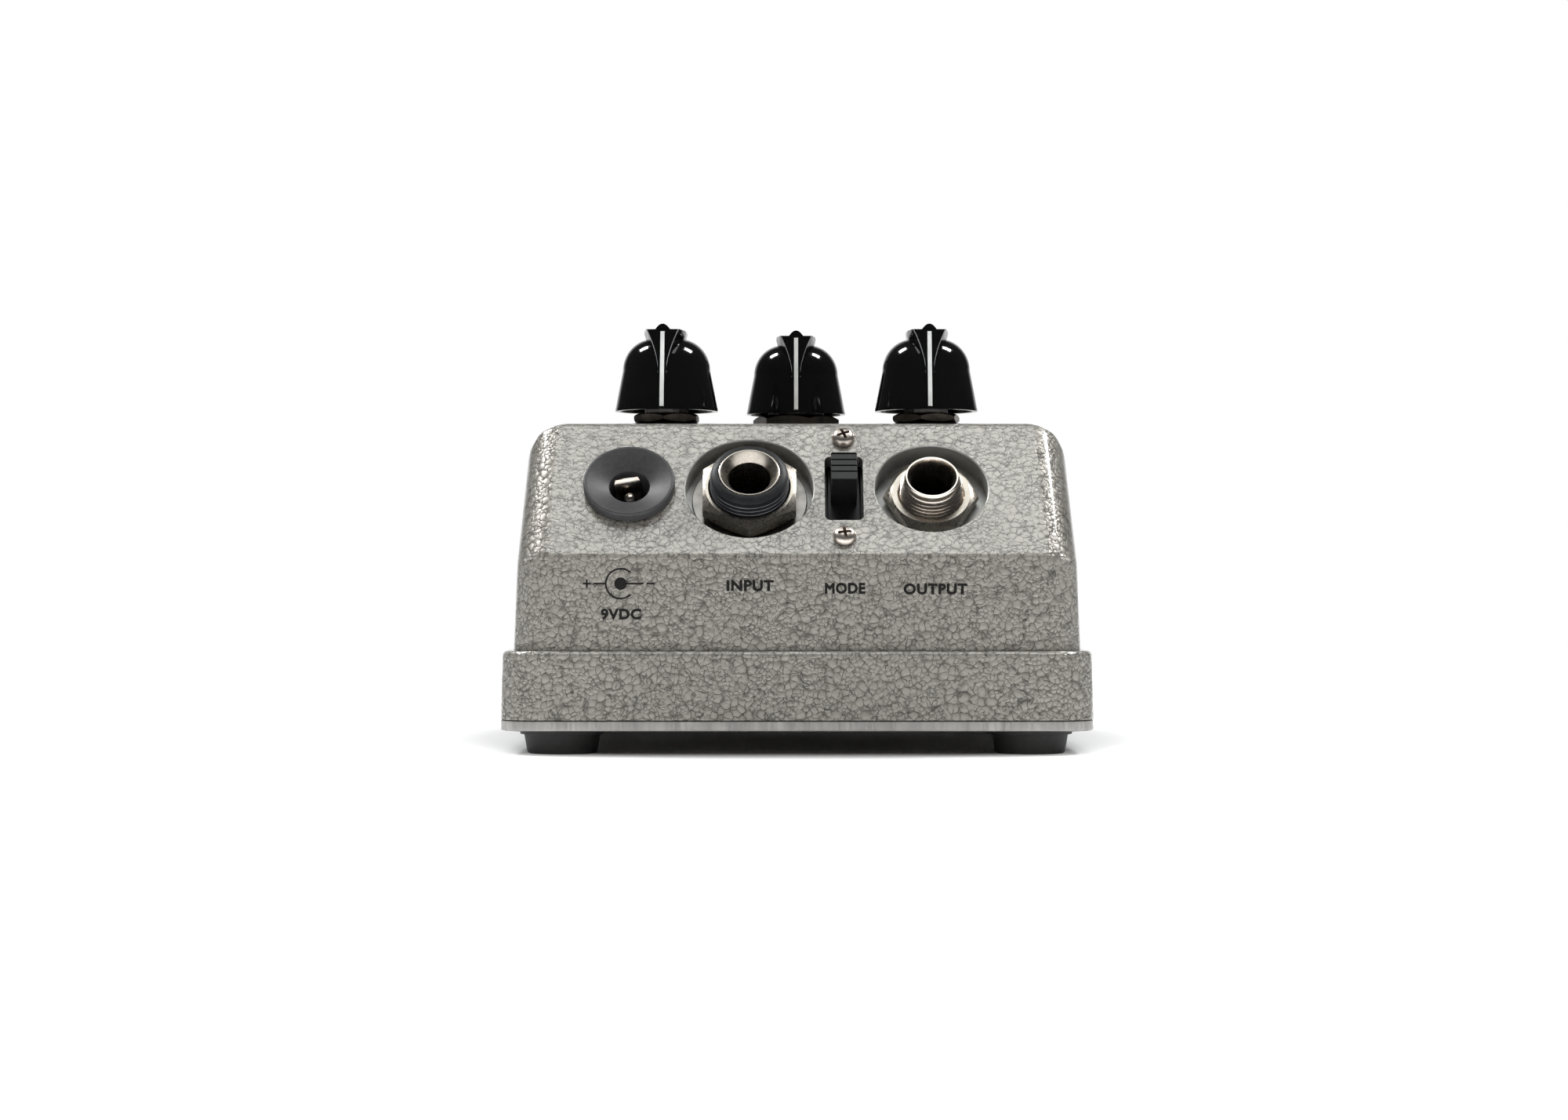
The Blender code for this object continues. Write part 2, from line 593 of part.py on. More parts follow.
def knob_shape(finish, name, location, turn):
    """A bell-shaped knob, hollow below with a hub for its shaft. It points along -Y before it is turned."""
    rim_radius = 8.25 * MM
    side = [(rim_radius, 0.0), (rim_radius, 0.6 * MM), (7.05 * MM, 6.65 * MM)]
    shoulder = [  # a quarter of an ellipse from the side up to the top
        (2.2 * MM + 4.85 * MM * math.cos(a), 6.65 * MM + 5.3 * MM * math.sin(a))
        for a in (math.radians(15 * i) for i in range(1, 7))
    ]
    top = 6.65 * MM + 5.3 * MM
    profile = [(0.0, 0.0), *side, *shoulder, (0.0, top)]
    knob = solid(name, lathe(profile), finish, None, location)
    knob.rotation_euler = (0, 0, turn)
    grip = loft([
        ([(-near / 2, -reach), (near / 2, -reach), (far / 2, end), (-far / 2, end)], height)
        for height, near, far, reach, end in (
            (0.5 * MM, 1.4 * MM, 1.4 * MM, 8.2 * MM, -7.8 * MM),
            (5.9 * MM, 1.4 * MM, 1.4 * MM, 7.5 * MM, -6.6 * MM),
            (9.0 * MM, 2.1 * MM, 4.5 * MM, 7.1 * MM, 5.2 * MM),
            (11.4 * MM, 3.4 * MM, 6.6 * MM, 6.8 * MM, 5.6 * MM),
            (13.1 * MM, 5.4 * MM, 7.2 * MM, 6.6 * MM, 5.4 * MM),
        )
    ])
    rib = loft([
        ([(-half, -6.4 * MM), (half, -6.4 * MM), (half, 5.0 * MM), (-half, 5.0 * MM)], height)
        for half, height in ((1.0 * MM, 12.6 * MM), (0.8 * MM, 13.4 * MM), (0.3 * MM, 14.0 * MM))
    ])
    hollow = lathe([
        (7.4 * MM, -MM), (7.4 * MM, 0.0), (6.2 * MM, 6.5 * MM), (4.6 * MM, 7.0 * MM), (4.6 * MM, 1.6 * MM),
        (0.0, 1.6 * MM), (0.0, -MM),
    ], 20)
    bore = rod(SHAFT_RADIUS + GAP, -MM, KNOB_BORE_TOP, 16)
    combine(knob, "UNION", turned_helpers(knob, {"grip": grip, "rib": rib}))
    combine(knob, "DIFFERENCE", turned_helpers(knob, {"hollow": hollow, "bore": bore}))


def turned_helpers(knob, shapes):
    """Helpers that stand where a knob stands and are turned as it is."""
    made = []
    for word, shape in shapes.items():
        extra = helper(f"{knob.name}_{word}", shape, None, knob.location)
        extra.rotation_euler = knob.rotation_euler
        made.append(extra)
    return made


def make_pot(name, place, rim, thread_radius, turn, nut_turn, materials):
    """One potentiometer with its washer, nut, shaft and knob. rim is the height of the knob's lower edge."""
    at = (*place, 0.0)
    bore = SHAFT_RADIUS + GAP
    body_bottom = UNDER_TOP - POT_HEIGHT
    floor = body_bottom + 2 * MM
    body = lathe([
        (0.0, body_bottom), (POT_RADIUS, body_bottom), (POT_RADIUS, UNDER_TOP), (thread_radius, UNDER_TOP),
        (thread_radius, rim + MM), (bore, rim + MM), (bore, floor), (0.0, floor),
    ], 20)
    solid(f"pot_body_{name}", body, materials["steel"], None, at)
    shaft = rod(SHAFT_RADIUS, floor + GAP, rim + KNOB_BORE_TOP - GAP, 16)
    solid(f"pot_shaft_{name}", shaft, materials["steel"], None, at)
    across, height, washer_radius = 10.0 * MM, 1.5 * MM, 6.0 * MM
    if thread_radius > SMALL_THREAD_RADIUS:
        across, height, washer_radius = 12.7 * MM, 2.3 * MM, 7.4 * MM
    washer = (CASE_TOP + GAP, CASE_TOP + GAP + 0.4 * MM)
    disc = ring(thread_radius + GAP, washer_radius, *washer)
    solid(f"pot_washer_{name}", disc, materials["steel"], None, at)
    foot = washer[1] + GAP / 2
    nut = nut_shape(across, thread_radius, foot, foot + height, nut_turn)
    solid(f"pot_nut_{name}", nut, materials["steel"], None, at)
    knob_shape(materials["gloss_black"], f"knob_{name}", (*place, rim), turn)


def make_lamp(materials):
    """A small red lamp in a domed metal bezel, held from below by its own flange."""
    at = (*LAMP_PLACE, 0.0)
    radius = LAMP_HOLE_RADIUS
    foot = CASE_TOP - WALL - 1.5 * MM
    bezel = lathe([
        (2.75 * MM, foot), (radius, foot), (radius, CASE_TOP + GAP),
        (4.0 * MM, CASE_TOP + GAP), (3.9 * MM, CASE_TOP + 0.9 * MM), (3.3 * MM, CASE_TOP + 1.5 * MM),
        (2.75 * MM, CASE_TOP + 1.3 * MM),
    ], 20)
    solid("lamp_bezel", bezel, materials["nickel"], None, at)
    dome = arc((0.0, CASE_TOP + 0.2 * MM), 2.5 * MM, 0, 90, 3)
    lens = lathe([(0.0, foot), (2.5 * MM, foot), *dome[:-1], (0.0, CASE_TOP + 2.7 * MM)], 14)
    solid("lamp_lens", lens, materials["lamp_red"], None, at)


def make_stomp_switch(materials):
    """The stomp switch: a box with nine lugs, a threaded bushing with nut and washer, and a domed button."""
    at = (*STOMP_PLACE, 0.0)
    flange = (UNDER_TOP - MM, UNDER_TOP)
    body_top = flange[0] - GAP
    body_bottom = body_top - 12.0 * MM
    block = prism(rounded_rectangle(17.4 * MM, 17.4 * MM, MM, 2), body_bottom, body_top)
    body = solid("stomp_switch_body", block, materials["satin_black"], None, at)
    lugs = []
    blade_plan = rounded_rectangle(2.2 * MM, 0.8 * MM, 0.2 * MM, 1)
    for i in range(9):
        column, row = i % 3 - 1, i // 3 - 1
        blade = prism(blade_plan, body_bottom - 3.6 * MM, body_bottom + MM)
        place = (STOMP_PLACE[0] + column * 5.3 * MM, STOMP_PLACE[1] + row * 5.0 * MM, 0)
        lugs.append(helper(f"stomp_lug_{i}", blade, None, place))
    combine(body, "UNION", lugs)
    bushing_top = CASE_TOP + 5.8 * MM
    bore = STOMP_BUTTON_RADIUS + GAP
    bushing = lathe([
        (bore, flange[0]), (8.6 * MM, flange[0]), (8.6 * MM, flange[1]), (STOMP_THREAD_RADIUS, flange[1]),
        (STOMP_THREAD_RADIUS, bushing_top - 0.4 * MM), (STOMP_THREAD_RADIUS - 0.4 * MM, bushing_top),
        (bore, bushing_top),
    ])
    solid("stomp_switch_bushing", bushing, materials["nickel"], None, at)
    washer = (CASE_TOP + GAP, CASE_TOP + GAP + 0.6 * MM)
    disc = ring(STOMP_THREAD_RADIUS + GAP, 8.4 * MM, *washer)
    solid("stomp_switch_washer", disc, materials["satin_black"], None, at)
    nut = nut_shape(14.0 * MM, STOMP_THREAD_RADIUS, washer[1] + GAP / 2, washer[1] + GAP / 2 + 2.6 * MM)
    solid("stomp_switch_nut", nut, materials["nickel"], None, at)
    foot = body_top + STOMP_TRAVEL + GAP
    top = CASE_TOP + 11.2 * MM
    button = lathe([
        (0.0, foot), (STOMP_BUTTON_RADIUS, foot), (STOMP_BUTTON_RADIUS, top - 2.2 * MM),
        (4.6 * MM, top - 1.2 * MM), (3.6 * MM, top - 0.5 * MM), (2.0 * MM, top - 0.1 * MM), (0.0, top),
    ], 20)
    solid("stomp_switch_button", button, materials["nickel"], None, at)


# ---------------------------------------------------------------- inside

def make_electronics(materials):
    """The circuit board and what hangs from it, the battery, and the ribbon to the stomp switch."""
    underside = BOARD_TOP - BOARD_THICKNESS
    plan = rounded_rectangle(*BOARD_SIZE, 2.0 * MM, 2)
    board = prism(plan, underside, BOARD_TOP)
    solid("main_board", board, materials["board_green"], None, (0, BOARD_MIDDLE_Y, 0))
    for i, x in enumerate((-9.0 * MM, 0.0, 9.0 * MM), start=1):
        shape = prism(arc((0.0, 0.0), 2.4 * MM, -35, 215, 8), underside - GAP - 4.6 * MM, underside - GAP)
        solid(f"transistor_{i}", shape, materials["satin_black"], None, (x, 4.0 * MM, 0))
    for i, (x, y, radius, height) in enumerate((
        (-24.0, 1.0, 4.0, 9.0), (22.0, 2.0, 3.15, 8.0), (-22.0, -14.0, 2.5, 6.0),
    ), start=1):
        can = rod(radius * MM, underside - GAP - height * MM, underside - GAP, 14)
        solid(f"capacitor_{i}", can, materials["satin_black"], None, (x * MM, y * MM, 0))
    chip_plan = rounded_rectangle(9.4 * MM, 6.4 * MM, 0.4 * MM, 1)
    chip = prism(chip_plan, underside - GAP - 3.4 * MM, underside - GAP)
    solid("amplifier_chip", chip, materials["satin_black"], None, (14.0 * MM, -10.0 * MM, 0))
    make_battery(materials)
    y_board = BOARD_MIDDLE_Y + BOARD_SIZE[1] / 2 - 2 * MM
    y_switch = STOMP_PLACE[1] - 8 * MM
    low = underside - 10.2 * MM
    path = [(y_board, underside - 0.6 * MM), (y_board + 3 * MM, underside - 4 * MM)]
    path += [(y_switch, low), (y_switch + 14 * MM, low)]
    solid("ribbon_cable", upright_strip(thickened(path, 0.5 * MM), 13.0 * MM), materials["ribbon_grey"])


def make_battery(materials):
    """A flat nine-volt battery lying on the base plate with its snap connector at the right end."""
    at = (*BATTERY_PLACE, 0.0)
    top = BATTERY_BOTTOM + BATTERY_HEIGHT
    edge = 1.5 * MM
    block = loft([
        (rounded_rectangle(BATTERY_SIZE[0], BATTERY_SIZE[1] - less, MM, 2), height)
        for less, height in (
            (2 * edge, BATTERY_BOTTOM), (0.0, BATTERY_BOTTOM + edge), (0.0, top - edge), (2 * edge, top),
        )
    ])
    battery = solid("battery", block, materials["satin_black"], None, at)
    end = BATTERY_SIZE[0] / 2
    middle = BATTERY_BOTTOM + BATTERY_HEIGHT / 2
    snap_plan = rounded_rectangle(13.0 * MM, 25.0 * MM, 3.0 * MM, 2)
    cap = prism(snap_plan, GAP, 4.2 * MM)
    snap = solid("battery_snap", cap, materials["satin_black"], None, (end, at[1], middle))
    snap.rotation_euler = (0, math.pi / 2, 0)
    studs, pockets = [], []
    for word, side in (("negative", -1), ("positive", 1)):
        place = (end, at[1] + side * 6.35 * MM, middle)
        studs.append(helper(f"battery_stud_{word}", rod(3.0 * MM, -MM, 2.6 * MM, 10), None, place))
        pockets.append(helper(f"cut_snap_{word}", rod(3.4 * MM, -MM, 2.9 * MM, 12), None, place))
    for part in studs + pockets:
        part.rotation_euler = (0, math.pi / 2, 0)
    combine(battery, "UNION", studs)
    combine(snap, "DIFFERENCE", pockets)


def main():
    clear_scene()
    materials = make_materials()
    run_middle = -(CASE_LENGTH / 2 - LEDGE - LOWER_LEAN - PANEL_RUN / 2)
    panel = frame("jack_panel", (0.0, run_middle, (BEND_HEIGHT + CASE_TOP) / 2), PANEL_TILT)
    make_case(panel, materials["hammertone"])
    make_base(materials)
    make_input_jack(panel, materials)
    make_output_jack(panel, materials)
    make_power_jack(panel, materials)
    make_slide_switch(panel, materials)
    for name, place, rim, thread_radius, turn, nut_turn in (
        ("left", LEFT_KNOB, CASE_TOP + 2.7 * MM, SMALL_THREAD_RADIUS, -2.4, 27.0),
        ("middle", MIDDLE_KNOB, CASE_TOP + 3.3 * MM, LARGE_THREAD_RADIUS, 0.0, -12.0),
        ("right", RIGHT_KNOB, CASE_TOP + 2.7 * MM, SMALL_THREAD_RADIUS, 2.0, 19.0),
    ):
        make_pot(name, place, rim, thread_radius, math.radians(turn), nut_turn, materials)
    make_lamp(materials)
    make_stomp_switch(materials)
    make_electronics(materials)


main()
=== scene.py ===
# %% [markdown]
# # A guitar effects pedal in grey hammertone paint
# The pedal is a cast metal box with a sloping panel of jacks at its rear. Every piece of it already exists
# as a plain solid, which fixes its size and place. This lesson makes the finely shaped pieces that are seen
# in place of those solids, and gives each one its finish. The first cell loads the plain model.

# %% Load the plain model
import json
import math

import bmesh
import bpy
from mathutils import Matrix, Vector


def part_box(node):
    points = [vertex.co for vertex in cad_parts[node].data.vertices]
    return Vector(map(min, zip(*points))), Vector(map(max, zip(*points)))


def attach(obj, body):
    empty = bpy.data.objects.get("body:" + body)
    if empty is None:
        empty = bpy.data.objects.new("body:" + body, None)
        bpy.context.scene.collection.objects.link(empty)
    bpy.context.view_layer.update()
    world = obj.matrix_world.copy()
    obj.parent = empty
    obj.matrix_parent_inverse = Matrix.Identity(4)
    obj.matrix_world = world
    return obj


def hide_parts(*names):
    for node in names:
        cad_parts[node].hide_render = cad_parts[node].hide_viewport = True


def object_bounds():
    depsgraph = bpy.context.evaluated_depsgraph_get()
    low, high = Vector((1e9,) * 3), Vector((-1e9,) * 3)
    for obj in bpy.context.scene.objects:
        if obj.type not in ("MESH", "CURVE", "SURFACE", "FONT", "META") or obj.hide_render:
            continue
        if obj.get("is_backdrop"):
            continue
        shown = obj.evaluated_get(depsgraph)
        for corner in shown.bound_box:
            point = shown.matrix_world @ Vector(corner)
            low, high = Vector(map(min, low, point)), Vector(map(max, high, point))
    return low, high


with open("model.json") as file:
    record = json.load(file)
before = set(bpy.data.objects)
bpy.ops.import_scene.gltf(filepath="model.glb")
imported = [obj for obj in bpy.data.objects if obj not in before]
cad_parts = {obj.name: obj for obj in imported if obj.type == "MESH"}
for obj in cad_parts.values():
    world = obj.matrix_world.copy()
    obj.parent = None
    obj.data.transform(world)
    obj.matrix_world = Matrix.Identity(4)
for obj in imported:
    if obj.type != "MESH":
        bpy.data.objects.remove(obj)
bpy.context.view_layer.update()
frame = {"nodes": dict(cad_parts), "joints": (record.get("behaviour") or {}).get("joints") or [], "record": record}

MM = 0.001
nodes = frame["nodes"]
mounts = {mount["name"]: mount for mount in frame["record"]["mounts"]}
joints = {joint["name"]: joint for joint in frame["joints"]}

# %% [markdown]
# ## The camera
# The pedal is seen from just above the table, straight at its rear, through a long lens that keeps its
# sides upright. The camera comes early so that every later step can be looked at.

# %% Camera
camera = bpy.data.objects.new("camera", bpy.data.cameras.new("camera"))
camera.data.lens = 72.0
camera.data.sensor_width = 36.0
camera.data.clip_start = 0.01
camera.location = (-2.0 * MM, -532.0 * MM, 25.7 * MM)
camera.rotation_euler = (math.radians(90.444), 0.0, 0.0)
bpy.context.scene.collection.objects.link(camera)
bpy.context.scene.camera = camera
bpy.context.scene.view_settings.view_transform = "Standard"
print("camera stands", round(-camera.location.y, 3), "m behind the middle of the pedal")

# %% [markdown]
# ## Small tools
# Nearly every piece is either turned on a lathe or cut from a block, so two short functions start most
# shapes. A third joins or cuts two closed shapes, which is how a drill or a milling cutter is copied here.

# %% Shapes to start from
def tidy(shape):
    """Merges doubled points and turns every face of a closed shape to point out."""
    bmesh.ops.remove_doubles(shape, verts=shape.verts, dist=0.0005 * MM)
    bmesh.ops.recalc_face_normals(shape, faces=shape.faces)
    if shape.calc_volume(signed=True) < 0:
        bmesh.ops.reverse_faces(shape, faces=shape.faces)
    return shape


def turned(profile, steps=96):
    """Spins a chain of (radius, height) points about Z. One that starts off the axis is closed on itself."""
    shape = bmesh.new()
    verts = [shape.verts.new((radius, 0.0, height)) for radius, height in profile]
    pairs = list(zip(verts, verts[1:]))
    if profile[0][0] > 0.0:
        pairs.append((verts[-1], verts[0]))
    edges = [shape.edges.new(pair) for pair in pairs]
    bmesh.ops.spin(
        shape, geom=verts + edges, cent=(0, 0, 0), axis=(0, 0, 1), angle=math.tau, steps=steps, use_merge=True,
    )
    return tidy(shape)


def lathed(points, steps=96, base=0.0):
    """A turned shape from (radius, height) points in millimetres, its heights counted from a base."""
    return turned([(radius * MM, base + height * MM) for radius, height in points], steps)


def soften(shape, edges, radius, segments=3):
    """Rounds some edges of a shape."""
    bmesh.ops.bevel(
        shape, geom=list(edges), offset=radius, offset_type="OFFSET", segments=segments, profile=0.5,
        affect="EDGES", material=-1, clamp_overlap=True,
    )
    return shape


def upright_edges(shape):
    return [e for e in shape.edges if abs(e.verts[0].co.z - e.verts[1].co.z) > 0.001 * MM]


def edges_at(shape, height):
    """The edges that lie level at a height."""
    return [e for e in shape.edges if all(abs(v.co.z - height) < 0.001 * MM for v in e.verts)]


def slab(width, length, bottom, top, corner=0.0, segments=5):
    """A block with its middle on Z, with round upright corners."""
    shape = bmesh.new()
    bmesh.ops.create_cube(shape, size=1.0)
    bmesh.ops.scale(shape, vec=(width, length, top - bottom), verts=shape.verts)
    bmesh.ops.translate(shape, vec=(0, 0, (top + bottom) / 2), verts=shape.verts)
    return soften(shape, upright_edges(shape), corner, segments) if corner else shape


def moved(shape, matrix):
    bmesh.ops.transform(shape, matrix=matrix, verts=shape.verts)
    return shape


def shift(x=0.0, y=0.0, z=0.0):
    return Matrix.Translation((x, y, z))


def about_z(degrees):
    return Matrix.Rotation(math.radians(degrees), 4, "Z")


def split(shape, place, direction, clear_outer=False):
    """Cuts every face that a plane crosses, and may clear what lies outside the plane."""
    bmesh.ops.bisect_plane(
        shape, geom=shape.verts[:] + shape.edges[:] + shape.faces[:], plane_co=place, plane_no=direction,
        clear_outer=clear_outer,
    )


print("shape tools ready")

# %% Joining and cutting
def evaluated(obj):
    """A bmesh of an object as its modifiers leave it. The object itself is thrown away."""
    graph = bpy.context.evaluated_depsgraph_get()
    done = obj.evaluated_get(graph)
    result = bmesh.new()
    result.from_mesh(done.to_mesh())
    done.to_mesh_clear()
    data = obj.data
    bpy.data.objects.remove(obj)
    if isinstance(data, bpy.types.Mesh):
        bpy.data.meshes.remove(data)
    else:
        bpy.data.curves.remove(data)
    return result


def loose_object(shape):
    """An object for one operation, with two empty material slots so that cut faces keep their slot."""
    mesh = bpy.data.meshes.new("working")
    shape.to_mesh(mesh)
    shape.free()
    mesh.materials.append(None)
    mesh.materials.append(None)
    obj = bpy.data.objects.new("working", mesh)
    bpy.context.scene.collection.objects.link(obj)
    return obj


def combined(base, tool, operation):
    """UNION, DIFFERENCE or INTERSECT of two closed shapes, as a new shape."""
    base_object, tool_object = loose_object(base), loose_object(tool)
    modifier = base_object.modifiers.new("Combine", "BOOLEAN")
    modifier.operation = operation
    modifier.object = tool_object
    modifier.solver = "EXACT"
    result = evaluated(base_object)
    mesh = tool_object.data
    bpy.data.objects.remove(tool_object)
    bpy.data.meshes.remove(mesh)
    return result


def cut(base, *tools):
    for tool in tools:
        base = combined(base, tool, "DIFFERENCE")
    return base


print("cutting tools ready")

# %% Handing a finished piece over
def piece(name, shape, finishes, replaces=(), body="case", at=None, sharp=30.0):
    """Makes an object of a shape, puts its place into its mesh and lets it ride with a body of the pedal."""
    if at is not None:
        moved(shape, at)
    mesh = bpy.data.meshes.new(name)
    shape.to_mesh(mesh)
    shape.free()
    mesh.shade_smooth()
    mesh.set_sharp_from_angle(angle=math.radians(sharp))
    for finish in finishes:
        mesh.materials.append(finish)
    obj = bpy.data.objects.new(name, mesh)
    bpy.context.scene.collection.objects.link(obj)
    weighted = obj.modifiers.new("Even shading", "WEIGHTED_NORMAL")
    weighted.keep_sharp = True
    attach(obj, body)
    if replaces:
        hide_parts(*replaces)
    print(f"{name}: {len(mesh.polygons)} faces")
    return obj


def middle_of(node):
    low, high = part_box(node)
    return (low + high) / 2


# %% [markdown]
# ## Where the sloping panel is
# The jacks stand square to the sloping panel. Its directions come from the frame: the input jack's face
# looks straight out of the panel, and the slide switch slides down its slope.

# %% Panel directions
INPUT_PROUD = 3.6 * MM  # how far the input jack stands out of the panel
panel_out = Vector(mounts["input_jack_face"]["axis"])
panel_up = -Vector(joints["mode_switch_slide"]["axis"])
panel_middle = Vector(mounts["input_jack_face"]["pos_m"]) - panel_out * INPUT_PROUD
panel_middle.x = 0.0
panel_turn = Matrix((Vector((1, 0, 0)), panel_up, panel_out)).transposed().to_4x4()


def on_panel(x, up=0.0):
    """The place of a piece that stands square on the panel, up its slope by a distance."""
    return Matrix.Translation(panel_middle + panel_up * up + Vector((x, 0, 0))) @ panel_turn


print("panel leans back", round(math.degrees(math.acos(panel_out.z)), 1), "degrees from level")

# %% [markdown]
# ## Finishes
# Hammertone paint dries into small domes with dark creases between them, because the metal flakes in it are
# pulled apart as it sets. Two sizes of cell are laid over each other: single domes about a millimetre wide,
# and clusters of them with longer creases. Both come from one node group, so the same pattern can serve
# several finishes.

# %% A node group for the hammered pattern
def group_with(name, inputs, outputs):
    """An empty shader node group with named float or colour sockets, and its two end nodes."""
    group = bpy.data.node_groups.new(name, "ShaderNodeTree")
    for socket, kind in inputs:
        group.interface.new_socket(socket, in_out="INPUT", socket_type=kind)
    for socket, kind in outputs:
        group.interface.new_socket(socket, in_out="OUTPUT", socket_type=kind)
    return group, group.nodes.new("NodeGroupInput"), group.nodes.new("NodeGroupOutput")


def math_node(tree, operation, first, second=None, clamp=False):
    node = tree.nodes.new("ShaderNodeMath")
    node.operation = operation
    node.use_clamp = clamp
    for socket, value in zip(node.inputs, (first, second)):
        if value is None:
            continue
        if isinstance(value, (int, float)):
            socket.default_value = value
        else:
            tree.links.new(value, socket)
    return node.outputs[0]


def ramp(tree, value, low, high, from_low=0.0, from_high=1.0):
    """Maps a value between two ends onto another range, smoothly and without running past it."""
    node = tree.nodes.new("ShaderNodeMapRange")
    node.interpolation_type = "SMOOTHSTEP"
    tree.links.new(value, node.inputs["Value"])
    for socket, number in (("From Min", low), ("From Max", high), ("To Min", from_low), ("To Max", from_high)):
        node.inputs[socket].default_value = number
    return node.outputs[0]


def voronoi(tree, vector, scale, feature, factor=1.0):
    node = tree.nodes.new("ShaderNodeTexVoronoi")
    node.feature = feature
    tree.links.new(vector, node.inputs["Vector"])
    tree.links.new(math_node(tree, "MULTIPLY", scale, factor), node.inputs["Scale"])
    return node


def noise(tree, vector, scale, detail=2.0):
    node = tree.nodes.new("ShaderNodeTexNoise")
    node.inputs["Detail"].default_value = detail
    tree.links.new(vector, node.inputs["Vector"])
    if isinstance(scale, (int, float)):
        node.inputs["Scale"].default_value = scale
    else:
        tree.links.new(scale, node.inputs["Scale"])
    return node


def swirled(tree, vector, scale, amount):
    """The coordinates pushed about by noise, so that cells lose their straight sides."""
    push = noise(tree, vector, scale, 3.0)
    centre = tree.nodes.new("ShaderNodeVectorMath")
    centre.operation = "SUBTRACT"
    centre.inputs[1].default_value = (0.5, 0.5, 0.5)
    tree.links.new(push.outputs["Color"], centre.inputs[0])
    add = tree.nodes.new("ShaderNodeVectorMath")
    add.operation = "MULTIPLY_ADD"
    tree.links.new(centre.outputs[0], add.inputs[0])
    add.inputs[1].default_value = (amount, amount, amount)
    tree.links.new(vector, add.inputs[2])
    return add.outputs[0]


def make_hammer_group():
    group, ins, outs = group_with(
        "hammered pattern",
        [("Vector", "NodeSocketVector"), ("Cells per metre", "NodeSocketFloat")],
        [("Crease", "NodeSocketFloat"), ("Dome", "NodeSocketFloat"), ("Cloud", "NodeSocketFloat")],
    )
    vector, scale = ins.outputs["Vector"], ins.outputs["Cells per metre"]

    def scaled(factor):
        return math_node(group, "MULTIPLY", scale, factor)

    def patches(factor, low, high):
        return ramp(group, noise(group, vector, scaled(factor)).outputs["Fac"], low, high)

    bent = swirled(group, vector, scaled(1.5), 0.5 * MM)
    wider = swirled(group, vector, scaled(0.6), 1.6 * MM)
    patch = patches(0.4, 0.44, 0.58)
    rest = math_node(group, "SUBTRACT", 1.0, patch)

    def two_sizes(feature):
        large = voronoi(group, bent, scale, feature, 0.9).outputs["Distance"]
        small = voronoi(group, bent, scale, feature, 1.5).outputs["Distance"]
        return math_node(
            group, "ADD", math_node(group, "MULTIPLY", large, rest), math_node(group, "MULTIPLY", small, patch),
        )

    reach = two_sizes("F1")
    swell = math_node(group, "SUBTRACT", 1.0, math_node(group, "MULTIPLY", reach, reach), True)
    group.links.new(swell, outs.inputs["Dome"])
    fine = ramp(group, two_sizes("DISTANCE_TO_EDGE"), 0.0, 0.075, 1.0, 0.0)
    fine = math_node(group, "MULTIPLY", fine, patches(0.9, 0.2, 0.56))
    cluster = voronoi(group, wider, scale, "DISTANCE_TO_EDGE", 0.42).outputs["Distance"]
    near_edge = ramp(group, cluster, 0.0, 0.05, 1.0, 0.0)
    long_crease = math_node(group, "MULTIPLY", near_edge, patches(0.7, 0.42, 0.62))
    group.links.new(math_node(group, "MAXIMUM", fine, long_crease), outs.inputs["Crease"])
    cloud = noise(group, vector, scaled(0.09), 3.0)
    group.links.new(cloud.outputs["Fac"], outs.inputs["Cloud"])
    return group


hammer_group = make_hammer_group()
print("hammered pattern:", len(hammer_group.nodes), "nodes")

# %% A node group for fine grain, shared by the plastics, rubber and metals
def make_grain_group():
    """Fine uneven grain that may be drawn out along one axis by a Mapping node before it."""
    group, ins, outs = group_with(
        "fine grain",
        [("Vector", "NodeSocketVector"), ("Scale", "NodeSocketFloat")],
        [("Grain", "NodeSocketFloat"), ("Blotch", "NodeSocketFloat")],
    )
    grain = noise(group, ins.outputs["Vector"], ins.outputs["Scale"], 4.0)
    group.links.new(grain.outputs["Fac"], outs.inputs["Grain"])
    broad = noise(group, ins.outputs["Vector"], math_node(group, "MULTIPLY", ins.outputs["Scale"], 0.12), 3.0)
    group.links.new(ramp(group, broad.outputs["Fac"], 0.3, 0.7), outs.inputs["Blotch"])
    return group


grain_group = make_grain_group()
print("fine grain:", len(grain_group.nodes), "nodes")

# %% Building one finish
def start_finish(name, roughness, metallic=0.0, **constants):
    """A material with its Principled shader. Values that are the same all over go on the shader's sockets."""
    made = bpy.data.materials.new(name)
    made.use_nodes = True
    tree = made.node_tree
    shader = tree.nodes["Principled BSDF"]
    shader.inputs["Roughness"].default_value = roughness
    shader.inputs["Metallic"].default_value = metallic
    for socket, value in constants.items():
        shader.inputs[socket.replace("_", " ")].default_value = value
    return made, tree, shader


def object_vector(tree, stretch=(1.0, 1.0, 1.0), turn=(0.0, 0.0, 0.0)):
    where = tree.nodes.new("ShaderNodeTexCoord")
    mapping = tree.nodes.new("ShaderNodeMapping")
    mapping.inputs["Scale"].default_value = stretch
    mapping.inputs["Rotation"].default_value = turn
    tree.links.new(where.outputs["Object"], mapping.inputs["Vector"])
    return mapping.outputs["Vector"]


def placed_group(tree, group, **inputs):
    node = tree.nodes.new("ShaderNodeGroup")
    node.node_tree = group
    for socket, value in inputs.items():
        target = node.inputs[socket.replace("_", " ")]
        if isinstance(value, (int, float)):
            target.default_value = value
        else:
            tree.links.new(value, target)
    return node.outputs


